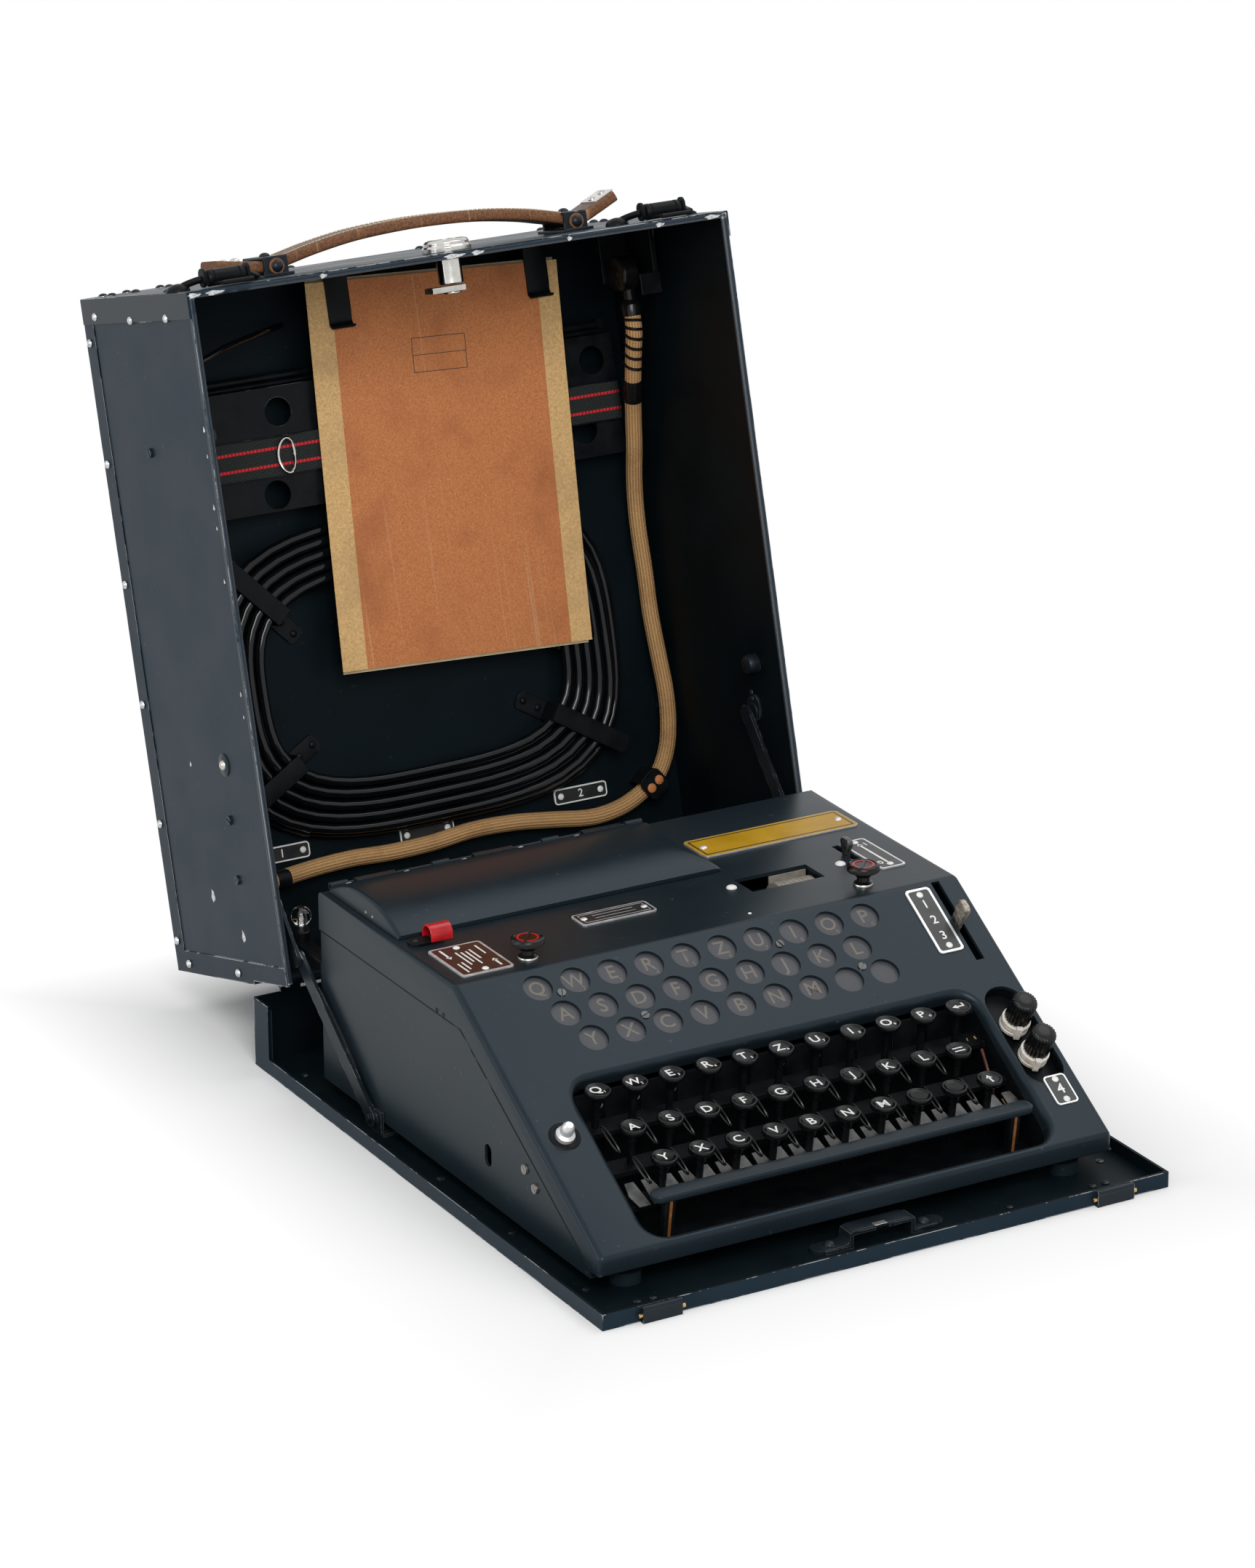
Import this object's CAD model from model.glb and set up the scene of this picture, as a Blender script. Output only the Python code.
import math

import bmesh
import bpy
from mathutils import Matrix, Vector


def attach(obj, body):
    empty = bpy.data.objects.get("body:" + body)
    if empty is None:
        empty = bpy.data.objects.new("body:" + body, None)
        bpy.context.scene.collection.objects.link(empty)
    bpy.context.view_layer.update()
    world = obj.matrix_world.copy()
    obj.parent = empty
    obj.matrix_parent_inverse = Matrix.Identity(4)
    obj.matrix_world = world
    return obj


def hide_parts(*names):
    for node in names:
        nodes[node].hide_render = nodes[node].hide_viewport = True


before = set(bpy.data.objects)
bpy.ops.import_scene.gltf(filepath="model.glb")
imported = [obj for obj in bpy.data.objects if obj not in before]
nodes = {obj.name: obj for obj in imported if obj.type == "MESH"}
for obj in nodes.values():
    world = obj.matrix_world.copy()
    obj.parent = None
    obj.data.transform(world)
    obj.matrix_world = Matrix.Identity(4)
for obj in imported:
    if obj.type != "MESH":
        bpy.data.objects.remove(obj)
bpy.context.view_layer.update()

# Shapes are drawn in millimetres, like the part's source, and turned into metres as pieces.
MM = 0.001

# Machine housing
HOUSING_X = 150
TOP_Z = 113.5
CREASE_Y = -11.5
SKIRT_Y = -158.8
SKIRT_TOP = 22.3
SKIRT_BOTTOM = 12.5
HOUSING_BACK = 138
SEAM_Z = 92
SEAM_Y = -18
SKIN = 2
SLOPE_ANGLE = math.atan2(TOP_Z - SKIRT_TOP, CREASE_Y - SKIRT_Y)

# Openings in the top, each from its left front corner to its right rear one
COUNTER_WINDOW = (45, 22, 89, 42)
ROTOR_HOLE = (-141, 60, 41, 130)
RESET_SLOT = (114.5, 33, 118.5, 57)

# Keyboard
KEY_PITCH = 21.25
ROW_S = (82, 107, 128)
ROW_X = (-108.5, -100.5, -93)
KEY_H = 6
KEY_TILT = math.radians(8)
KEY_R = 6.75
OPENING_X = 119
OPENING_S = (71, 168.5)
LIP_R = 3.5

# Lamps
LAMP_PITCH = 21.5
LAMP_S = (12.2, 30.4, 48.2)
LAMP_X = (-107.4, -99.9, -92.5)
LAMP_R = 7.9

# Cover
HINGE = (0, 188, 44)
LEAN = math.radians(15)
COVER_X = 162.5
COVER_L = 371
COVER_RISE = 102.5
COVER_SKIRT = 38
SHEET = 1.5
BACK_IN = COVER_RISE - SHEET

# Camera, solved from the photograph's straight edges: lens in mm, place in m, turns in degrees
CAMERA_LENS = 129.99
CAMERA_PLACE = (-1.37070, -2.32919, 1.19915)
CAMERA_AZIMUTH = -29.692
CAMERA_HEIGHT = 20.490
CAMERA_ROLL = -0.273

ROWS = (("q", "w", "e", "r", "t", "z", "u", "i", "o", "p", "return"),
        ("a", "s", "d", "f", "g", "h", "j", "k", "l", "line"),
        ("y", "x", "c", "v", "b", "n", "m", "blank_1", "blank_2", "letters"))


# ---------- places on the object ----------

def move(x=0, y=0, z=0):
    return Matrix.Translation((x, y, z))


def turn(degrees, axis):
    return Matrix.Rotation(math.radians(degrees), 4, axis)


def on_slope(x=0, s=0, h=0):
    """A point of the slope, s down from the crease and h above the sheet."""
    return move(0, CREASE_Y, TOP_Z) @ Matrix.Rotation(SLOPE_ANGLE, 4, "X") @ move(x, -s, h)


def at_key(x, s):
    """A key's own frame: the centre of its cap's top, with Z along its travel."""
    return on_slope(x, s, KEY_H) @ Matrix.Rotation(KEY_TILT - SLOPE_ANGLE, 4, "X")


def in_cover(x=0, b=0, u=0):
    """A point of the open cover: b towards its back, u along its length."""
    return move(*HINGE) @ Matrix.Rotation(-LEAN, 4, "X") @ move(x, b, u)


def stored(x, d, u):
    """A point d in front of the inner face of the cover's back."""
    return in_cover(x, BACK_IN - d, u)


# ---------- drawing ----------

class Shape:
    """Points in millimetres, and faces with a UV for each corner and a material number."""

    def __init__(self, points=(), faces=(), uvs=None, slots=None):
        self.points = [Vector(p) for p in points]
        self.faces = [list(f) for f in faces]
        self.uvs = uvs or [[(0, 0)] * len(f) for f in self.faces]
        self.slots = slots or [0] * len(self.faces)

    def __add__(self, other):
        n = len(self.points)
        moved = [[i + n for i in f] for f in other.faces]
        return Shape(self.points + other.points, self.faces + moved,
                     self.uvs + other.uvs, self.slots + other.slots)

    def at(self, m):
        return Shape([m @ p for p in self.points], self.faces, self.uvs, self.slots)

    def mat(self, slot):
        return Shape(self.points, self.faces, self.uvs, [slot] * len(self.faces))


def joined(shapes):
    out = Shape()
    for s in shapes:
        out.faces += [[i + len(out.points) for i in f] for f in s.faces]
        out.points += s.points
        out.uvs += s.uvs
        out.slots += s.slots
    return out


def loft(rings, caps=True, closed=True):
    """A skin over rings of equally many points. Its UVs run round each ring and along the rings in mm."""
    n = len(rings[0])
    points = [Vector(p) for ring in rings for p in ring]
    run = [0]
    for a, b in zip(rings, rings[1:]):
        run.append(run[-1] + sum(((Vector(q) - Vector(p)).length for p, q in zip(a, b))) / n)
    faces, uvs = [], []
    for i in range(len(rings) - 1):
        for k in range(n if closed else n - 1):
            m = (k + 1) % n
            faces.append([i * n + k, i * n + m, (i + 1) * n + m, (i + 1) * n + k])
            uvs.append([(k / n, run[i]), ((k + 1) / n, run[i]), ((k + 1) / n, run[i + 1]),
                        (k / n, run[i + 1])])
    if caps:
        last = (len(rings) - 1) * n
        faces += [list(range(n))[::-1], [last + k for k in range(n)]]
        uvs += [[(0, 0)] * n, [(0, 0)] * n]
    return Shape(points, faces, uvs)


def prism(outline, z0, z1):
    return loft([[(x, y, z) for x, y in outline] for z in (z0, z1)])


def cuboid(p0, p1):
    return prism([(p0[0], p0[1]), (p1[0], p0[1]), (p1[0], p1[1]), (p0[0], p1[1])], p0[2], p1[2])


def lathe(profile, steps=32):
    """A profile of (radius, height) turned round Z. It starts and ends on the axis or is capped."""
    tiny = 1e-4
    return loft([[(max(r, tiny) * math.cos(a), max(r, tiny) * math.sin(a), z)
                  for a in (math.tau * k / steps for k in range(steps))] for r, z in profile])


def rod(r, length, steps=32, edge=0.0):
    """A cylinder on Z from 0 to its length, with its edges broken."""
    if not edge:
        return lathe([(r, 0), (r, length)], steps)
    return lathe([(r - edge, 0), (r, edge), (r, length - edge), (r - edge, length)], steps)


def along(axis):
    """Turns what stands on Z so that it lies along X or Y."""
    return turn(90, "Y") if axis == "X" else turn(-90, "X")


def arc(cx, cy, r, a0, a1, n):
    step = (a1 - a0) / n
    return [(cx + r * math.cos(math.radians(a0 + step * i)), cy + r * math.sin(math.radians(a0 + step * i)))
            for i in range(n + 1)]


def round_rect(w, h, r, n=6):
    x, y = w / 2 - r, h / 2 - r
    return [p for cx, cy, a in ((x, y, 0), (-x, y, 90), (-x, -y, 180), (x, -y, 270))
            for p in arc(cx, cy, r, a, a + 90, n)]


def stadium(y0, y1, r, n=12):
    return arc(0, y1 - r, r, 0, 180, n) + arc(0, y0 + r, r, 180, 360, n)


def filleted(outline, radii, n=5):
    """The outline with each corner rounded to its radius."""
    out = []
    for i, (p, r) in enumerate(zip(outline, radii)):
        a, b, c = Vector(outline[i - 1]), Vector(p), Vector(outline[(i + 1) % len(outline)])
        if not r:
            out.append(tuple(b))
            continue
        u, v = (a - b).normalized(), (c - b).normalized()
        half = u.angle(v) / 2
        centre = b + (u + v).normalized() * (r / math.sin(half))
        start = b + u * (r / math.tan(half))
        end = b + v * (r / math.tan(half))
        for k in range(n + 1):
            d = (start - centre).lerp(end - centre, k / n).normalized()
            out.append(tuple(centre + d * r))
    return out


def smooth_route(points, steps=6):
    """Points of a Catmull-Rom curve through a route."""
    p = [Vector(q) for q in points]
    p = [2 * p[0] - p[1]] + p + [2 * p[-1] - p[-2]]
    out = []
    for a, b, c, d in zip(p, p[1:], p[2:], p[3:]):
        for k in range(steps):
            t = k / steps
            out.append(0.5 * (2 * b + (c - a) * t + (2 * a - 5 * b + 4 * c - d) * t ** 2
                              + (3 * b - a - 3 * c + d) * t ** 3))
    return out + [p[-2]]


def tube(route, radius, sides=12, caps=True, closed=False):
    """A round tube along a route. The radius may be a function of the point's number."""
    route = [Vector(p) for p in route]
    n = len(route)
    rings = []
    side = None
    for i, p in enumerate(route):
        before = route[i - 1] if i or closed else p
        after = route[(i + 1) % n] if i + 1 < n or closed else p
        t = (after - before).normalized()
        if side is None:
            side = t.orthogonal().normalized()
        side = (side - t * side.dot(t)).normalized()
        up = t.cross(side)
        r = radius(i) if callable(radius) else radius
        rings.append([p + r * (math.cos(a) * side + math.sin(a) * up)
                      for a in (math.tau * k / sides for k in range(sides))])
    if closed:
        rings.append(rings[0])
    return loft(rings, caps and not closed)


def strap(route, width, thick, across=(0, 1, 0)):
    """A flat band with rounded edges along a route, with its width along one direction."""
    route = [Vector(p) for p in route]
    across = Vector(across)
    section = round_rect(width, thick, thick * 0.3, 3)
    rings = []
    for i, p in enumerate(route):
        t = (route[min(i + 1, len(route) - 1)] - route[max(i - 1, 0)]).normalized()
        up = t.cross(across).normalized()
        rings.append([p + a * across + b * up for a, b in section])
    return loft(rings)


def rivet(r=2.2, h=1.2):
    return lathe([(r, 0)] + [(r * math.cos(a), h * math.sin(a))
                             for a in (math.radians(15 * k) for k in range(1, 6))] + [(0, h)], 20)


def slotted_screw(r=3, h=1.6, slot_w=0.8, angle=25):
    """A screw head made of two halves on a base, so that its slot is a real gap."""
    half = arc(0, 0, r, math.degrees(math.asin(slot_w / 2 / r)),
               180 - math.degrees(math.asin(slot_w / 2 / r)), 16)
    top = prism(half, h * 0.45, h) + prism([(-x, -y) for x, y in half], h * 0.45, h)
    return (rod(r, h * 0.5, 28) + top).at(turn(angle, "Z"))


def writing(text, size, thick=0.06):
    """Letters or figures, centred, in the built-in plain face."""
    curve = bpy.data.curves.new("writing", "FONT")
    curve.body = text
    curve.size = size
    curve.align_x = "CENTER"
    curve.align_y = "CENTER"
    curve.offset = size * 0.012
    curve.extrude = thick / 2
    curve.resolution_u = 3
    holder = bpy.data.objects.new("writing", curve)
    mesh = bpy.data.meshes.new_from_object(holder)
    out = Shape([v.co for v in mesh.vertices], [list(f.vertices) for f in mesh.polygons])
    bpy.data.objects.remove(holder)
    bpy.data.meshes.remove(mesh)
    return out


def make_object(name, shape, materials, weld=True):
    mesh = bpy.data.meshes.new(name)
    bm = bmesh.new()
    layer = bm.loops.layers.uv.new("UVMap")
    points = [bm.verts.new(p * MM) for p in shape.points]
    for face, uv, slot in zip(shape.faces, shape.uvs, shape.slots):
        f = bm.faces.new([points[i] for i in face])
        f.material_index = slot
        f.smooth = True
        for loop, c in zip(f.loops, uv):
            loop[layer].uv = c
    if weld:
        bmesh.ops.remove_doubles(bm, verts=bm.verts, dist=0.0015 * MM)
    bmesh.ops.recalc_face_normals(bm, faces=bm.faces)
    bm.to_mesh(mesh)
    bm.free()
    for m in materials:
        mesh.materials.append(m)
    obj = bpy.data.objects.new(name, mesh)
    bpy.context.scene.collection.objects.link(obj)
    return obj


def piece(name, shape, body, materials, bevel=0.0, angle=35, segments=2, replaces=()):
    """A finished piece that rides on a body. Bevels are in mm."""
    materials = materials if isinstance(materials, (list, tuple)) else [materials]
    obj = make_object(name, shape, materials)
    finish_edges(obj, bevel, angle, segments)
    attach(obj, body)
    if replaces:
        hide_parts(*([replaces] if isinstance(replaces, str) else replaces))
    return obj


def finish_edges(obj, bevel, angle=35, segments=2):
    obj.data.set_sharp_from_angle(angle=math.radians(angle))
    if bevel:
        m = obj.modifiers.new("edges", "BEVEL")
        m.width = bevel * MM
        m.segments = segments
        m.limit_method = "ANGLE"
        m.angle_limit = math.radians(angle)
        m.harden_normals = True


def cut(obj, shape):
    """Cuts a closed shape out of a piece."""
    tool = make_object("tool", shape, [])
    m = obj.modifiers.new("cut", "BOOLEAN")
    m.object = tool
    m.operation = "DIFFERENCE"
    m.solver = "EXACT"
    bpy.context.view_layer.update()
    made = bpy.data.meshes.new_from_object(obj.evaluated_get(bpy.context.evaluated_depsgraph_get()))
    obj.modifiers.clear()
    obj.data = made
    bpy.data.objects.remove(tool)


# ---------- materials ----------

def node(tree, kind, inputs=None, **settings):
    made = tree.nodes.new("ShaderNode" + kind)
    for key, value in settings.items():
        setattr(made, key, value)
    for key, value in (inputs or {}).items():
        if isinstance(value, bpy.types.NodeSocket):
            tree.links.new(value, made.inputs[key])
        else:
            made.inputs[key].default_value = value
    return made


def group(name, inputs, outputs, build):
    """A shader node group. Inputs are (name, default), and build returns one socket for each output."""
    tree = bpy.data.node_groups.new(name, "ShaderNodeTree")
    for key, default in inputs:
        kind = "NodeSocketVector" if default is None else "NodeSocketFloat"
        made = tree.interface.new_socket(key, in_out="INPUT", socket_type=kind)
        if default is not None:
            made.default_value = default
    for key in outputs:
        tree.interface.new_socket(key, in_out="OUTPUT", socket_type="NodeSocketFloat")
    start = tree.nodes.new("NodeGroupInput")
    end = tree.nodes.new("NodeGroupOutput")
    for key, socket in zip(outputs, build(tree, start.outputs)):
        tree.links.new(socket, end.inputs[key])
    return tree


def use(tree, made, **inputs):
    placed = tree.nodes.new("ShaderNodeGroup")
    placed.node_tree = made
    for key, value in inputs.items():
        key = key.replace("_", " ")
        if isinstance(value, bpy.types.NodeSocket):
            tree.links.new(value, placed.inputs[key])
        else:
            placed.inputs[key].default_value = value
    return placed.outputs


def calc(tree, kind, a, b=0.0, c=0.0, clamp=False):
    made = node(tree, "Math", {0: a, 1: b, 2: c}, operation=kind, use_clamp=clamp)
    return made.outputs[0]


def noise(tree, vector, scale, detail=4.0, rough=0.55):
    return node(tree, "TexNoise",
                {"Vector": vector, "Scale": scale, "Detail": detail, "Roughness": rough}).outputs["Fac"]


def spread(tree, value, low, high):
    """The value mapped from low..high to 0..1."""
    return node(tree, "MapRange", {"Value": value, "From Min": low, "From Max": high}).outputs["Result"]


def mixed(tree, fac, a, b):
    made = node(tree, "Mix", {"Factor": fac}, data_type="RGBA")
    for key, value in ((6, a), (7, b)):
        if isinstance(value, bpy.types.NodeSocket):
            tree.links.new(value, made.inputs[key])
        else:
            made.inputs[key].default_value = (*value, 1)
    return made.outputs[2]


def build_cloudiness(tree, given):
    """Slow patches, a fine grain and rare specks, from the object's own coordinates."""
    where = node(tree, "TexCoord").outputs["Object"]
    patches = noise(tree, where, given["Patch scale"], 3)
    grain = noise(tree, where, given["Grain scale"], 2, 0.7)
    specks = spread(tree, noise(tree, where, given["Speck scale"], 2), 0.70, 0.76)
    return patches, grain, specks


def build_edge_wear(tree, given):
    """Where sharp edges are rubbed bright: close to an edge, in broken patches."""
    where = node(tree, "TexCoord").outputs["Object"]
    rounded = node(tree, "Bevel", {"Radius": given["Reach"]}, samples=4).outputs["Normal"]
    flat = node(tree, "NewGeometry").outputs["Normal"]
    same = node(tree, "VectorMath", {0: rounded, 1: flat}, operation="DOT_PRODUCT").outputs["Value"]
    edge = spread(tree, calc(tree, "SUBTRACT", 1.0, same), 0.02, 0.22)
    breaks = noise(tree, where, given["Break scale"], 5, 0.65)
    long_breaks = noise(tree, where, calc(tree, "MULTIPLY", given["Break scale"], 0.17), 2)
    level = calc(tree, "ADD", calc(tree, "MULTIPLY", breaks, 0.5), calc(tree, "MULTIPLY", long_breaks, 0.5))
    worn = spread(tree, calc(tree, "ADD", level, calc(tree, "MULTIPLY", given["Amount"], 0.3)), 0.60, 0.64)
    return (calc(tree, "MULTIPLY", edge, worn, clamp=True),)


def build_weave(tree, given):
    """Over-and-under threads from a UV in threads."""
    parts = node(tree, "SeparateXYZ", {0: given["Vector"]}).outputs
    a = calc(tree, "SINE", calc(tree, "MULTIPLY", parts[0], math.pi))
    b = calc(tree, "SINE", calc(tree, "MULTIPLY", parts[1], math.pi))
    bump = calc(tree, "ABSOLUTE", calc(tree, "MULTIPLY", a, b))
    checks = calc(tree, "SIGN", calc(tree, "MULTIPLY", a, b))
    return bump, spread(tree, checks, -1.0, 1.0)


CLOUDINESS = group("Cloudiness", [("Patch scale", 20.0), ("Grain scale", 1500.0), ("Speck scale", 300.0)],
                   ["Patches", "Grain", "Specks"], build_cloudiness)
EDGE_WEAR = group("Edge wear", [("Reach", 0.001), ("Break scale", 120.0), ("Amount", 0.5)],
                  ["Wear"], build_edge_wear)
WEAVE = group("Weave", [("Vector", None)], ["Height", "Over"], build_weave)


def finish(name, dark, light, rough=(0.4, 0.5), metal=0.0, patch=25.0, grain=1500.0, bump=0.1,
           worn=None, reach=0.8, amount=0.5, speck=None, coat=0.0, specular=0.5, tint=(1, 1, 1)):
    """A material with patches between two colours, a fine grain, and worn edges if a worn colour is given."""
    made = bpy.data.materials.new(name)
    made.use_nodes = True
    tree = made.node_tree
    shader = tree.nodes["Principled BSDF"]
    patches, fine, specks = use(tree, CLOUDINESS, Patch_scale=patch, Grain_scale=grain,
                                Speck_scale=grain / 6)
    tone = spread(tree, calc(tree, "ADD", calc(tree, "MULTIPLY", patches, 0.75),
                             calc(tree, "MULTIPLY", fine, 0.25)),
                  0.35, 0.65)
    colour = mixed(tree, tone, dark, light)
    roughness = node(tree, "MapRange", {"Value": patches, "From Min": 0.3, "From Max": 0.7,
                                        "To Min": rough[0], "To Max": rough[1]}).outputs["Result"]
    if speck:
        colour = mixed(tree, specks, colour, speck)
    if worn:
        wear = use(tree, EDGE_WEAR, Reach=reach * MM, Amount=amount)["Wear"]
        colour = mixed(tree, wear, colour, worn)
        tree.links.new(calc(tree, "MAXIMUM", wear, metal), shader.inputs["Metallic"])
        roughness = calc(tree, "MULTIPLY_ADD", wear, calc(tree, "SUBTRACT", 0.3, roughness), roughness)
    else:
        shader.inputs["Metallic"].default_value = metal
    tree.links.new(colour, shader.inputs["Base Color"])
    tree.links.new(roughness, shader.inputs["Roughness"])
    height = node(tree, "Bump", {"Height": fine, "Strength": bump, "Distance": 0.05 * MM})
    tree.links.new(height.outputs["Normal"], shader.inputs["Normal"])
    shader.inputs["Coat Weight"].default_value = coat
    shader.inputs["Specular IOR Level"].default_value = specular
    shader.inputs["Specular Tint"].default_value = (*tint, 1)
    return made


BRIGHT = (0.78, 0.78, 0.78)
COLD = (0.76, 0.89, 1.0)
case_paint = finish("case_paint", (0.006, 0.0155, 0.0250), (0.0095, 0.0210, 0.0320), (0.32, 0.44), bump=0.2,
                    worn=BRIGHT, reach=1.0, amount=0.42, speck=(0.04, 0.048, 0.056), specular=0.13,
                    tint=COLD)
chipped_edge = finish("chipped_edge", (0.008, 0.016, 0.025), (0.012, 0.021, 0.031), (0.3, 0.42), bump=0.2,
                      worn=BRIGHT, reach=1.7, amount=0.80, specular=0.18, tint=COLD)
inner_paint = finish("inner_paint", (0.0018, 0.0042, 0.0056), (0.0034, 0.0070, 0.0090), (0.42, 0.55),
                     bump=0.2,
                     speck=(0.010, 0.014, 0.016), specular=0.08, tint=COLD)
housing_paint = finish("housing_paint", (0.0085, 0.0150, 0.0200), (0.0125, 0.0200, 0.0255), (0.27, 0.36),
                       bump=0.12,
                       patch=12, speck=(0.035, 0.042, 0.050), specular=0.20, tint=COLD)
fitting_paint = finish("fitting_paint", (0.005, 0.008, 0.011), (0.010, 0.014, 0.018), (0.30, 0.42),
                       bump=0.2,
                       patch=60, worn=BRIGHT, reach=0.4, amount=0.25, specular=0.25, tint=COLD)
black_metal = finish("black_metal", (0.0025, 0.0032, 0.004), (0.006, 0.0072, 0.0085), (0.30, 0.45),
                     bump=0.2,
                     patch=90, worn=(0.22, 0.21, 0.20), reach=0.35, amount=0.2, specular=0.10)
dark_steel = finish("dark_steel", (0.045, 0.046, 0.048), (0.15, 0.15, 0.148), (0.30, 0.5), metal=0.85,
                    patch=160)
bright_paint = finish("chipped_rivet", (0.32, 0.33, 0.34), (0.78, 0.78, 0.78), (0.24, 0.4), metal=0.85,
                      patch=600)
chrome = finish("chrome", (0.50, 0.49, 0.46), (0.66, 0.65, 0.62), (0.12, 0.22), metal=1.0, patch=90,
                bump=0.05)
nickel = finish("nickel", (0.42, 0.40, 0.36), (0.60, 0.58, 0.54), (0.24, 0.4), metal=1.0, patch=150,
                bump=0.1)
rusty_steel = finish("rusty_steel", (0.16, 0.12, 0.09), (0.45, 0.42, 0.37), (0.35, 0.6), metal=0.8,
                     patch=350,
                     grain=2500, bump=0.4, speck=(0.20, 0.09, 0.04))
bare_steel = finish("bare_steel", (0.20, 0.185, 0.165), (0.34, 0.32, 0.29), (0.32, 0.5), metal=0.9,
                    patch=120)
brass = finish("brass", (0.45, 0.30, 0.12), (0.60, 0.42, 0.18), (0.28, 0.4), metal=1.0, patch=120)
copper_strip = finish("copper_strip", (0.24, 0.085, 0.022), (0.40, 0.16, 0.045), (0.4, 0.55), metal=0.5,
                      patch=200)
key_black = finish("key_black", (0.002, 0.0024, 0.003), (0.005, 0.0056, 0.0065), (0.14, 0.26), bump=0.06,
                   patch=160,
                   specular=0.22)
knob_black = finish("knob_black", (0.003, 0.003, 0.0034), (0.007, 0.007, 0.0075), (0.18, 0.3), bump=0.1,
                    patch=200,
                    specular=0.25)
white_enamel = finish("white_enamel", (0.72, 0.72, 0.70), (0.82, 0.82, 0.80), (0.35, 0.5), patch=300)
worn_white = finish("worn_white", (0.52, 0.46, 0.38), (0.82, 0.80, 0.75), (0.4, 0.55), patch=260,
                    grain=2500,
                    speck=(0.35, 0.25, 0.15))
lamp_frost = finish("lamp_frost", (0.050, 0.052, 0.060), (0.066, 0.068, 0.077), (0.40, 0.5), patch=90,
                    specular=0.3)
lamp_ochre = finish("lamp_ochre", (0.105, 0.094, 0.080), (0.140, 0.124, 0.104), (0.45, 0.55), patch=200)
red_enamel = finish("red_enamel", (0.34, 0.003, 0.008), (0.52, 0.010, 0.014), (0.14, 0.24), patch=120,
                    specular=0.4)
silver_plate = finish("silver_plate", (0.55, 0.56, 0.57), (0.74, 0.74, 0.74), (0.3, 0.45), metal=0.6,
                      patch=150)
plate_black = finish("plate_black", (0.008, 0.009, 0.010), (0.016, 0.017, 0.018), (0.3, 0.42), patch=120)
plate_brown = finish("plate_brown", (0.026, 0.009, 0.007), (0.042, 0.014, 0.011), (0.3, 0.42), patch=120)
plate_yellow = finish("plate_yellow", (0.40, 0.22, 0.008), (0.52, 0.30, 0.018), (0.3, 0.42), patch=50,
                      specular=0.2)
cord_black = finish("cord_black", (0.002, 0.0026, 0.0032), (0.005, 0.006, 0.0075), (0.04, 0.11), patch=40,
                    bump=0.1,
                    specular=0.3)
drum_beige = finish("drum_beige", (0.18, 0.165, 0.14), (0.27, 0.25, 0.21), (0.5, 0.6), patch=200)
dark_glass = finish("dark_glass", (0.010, 0.013, 0.012), (0.022, 0.028, 0.026), (0.06, 0.14), patch=60,
                    coat=1.0)
paper = finish("paper_edge", (0.55, 0.42, 0.25), (0.74, 0.60, 0.38), (0.7, 0.85), patch=120, grain=3000)
thread = finish("cream_thread", (0.42, 0.33, 0.20), (0.60, 0.50, 0.34), (0.7, 0.85), patch=900)
red_wire = finish("red_wire", (0.040, 0.007, 0.004), (0.070, 0.013, 0.006), (0.4, 0.5), patch=300)


def fibrous(name, base, pale, blotch, scale):
    """Mottled board: fibres, slow blotches and faint upright folds."""
    made = bpy.data.materials.new(name)
    made.use_nodes = True
    tree = made.node_tree
    shader = tree.nodes["Principled BSDF"]
    where = node(tree, "TexCoord").outputs["Object"]
    fibres = noise(tree, where, scale, 6, 0.75)
    clouds = noise(tree, where, 30.0, 4)
    long_way = node(tree, "Mapping", {"Vector": where, "Scale": (420.0, 6.0, 3.0)}).outputs[0]
    folds = spread(tree, noise(tree, long_way, 1.0, 2), 0.63, 0.70)
    colour = mixed(tree, spread(tree, fibres, 0.36, 0.64), base, pale)
    colour = mixed(tree, calc(tree, "MULTIPLY", spread(tree, clouds, 0.5, 0.72), 0.55), colour, blotch)
    colour = mixed(tree, calc(tree, "MULTIPLY", folds, 0.3), colour, (0.66, 0.42, 0.22))
    tree.links.new(colour, shader.inputs["Base Color"])
    shader.inputs["Roughness"].default_value = 0.72
    bumped = node(tree, "Bump",
                  {"Height": calc(tree, "ADD", fibres, folds), "Strength": 0.35, "Distance": 0.15 * MM})
    tree.links.new(bumped.outputs["Normal"], shader.inputs["Normal"])
    return made


card = fibrous("pressboard", (0.40, 0.125, 0.036), (0.62, 0.235, 0.078), (0.33, 0.095, 0.030), 900.0)
cloth_tape = fibrous("cloth_tape", (0.50, 0.30, 0.12), (0.78, 0.50, 0.21), (0.40, 0.24, 0.12), 700.0)


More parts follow.
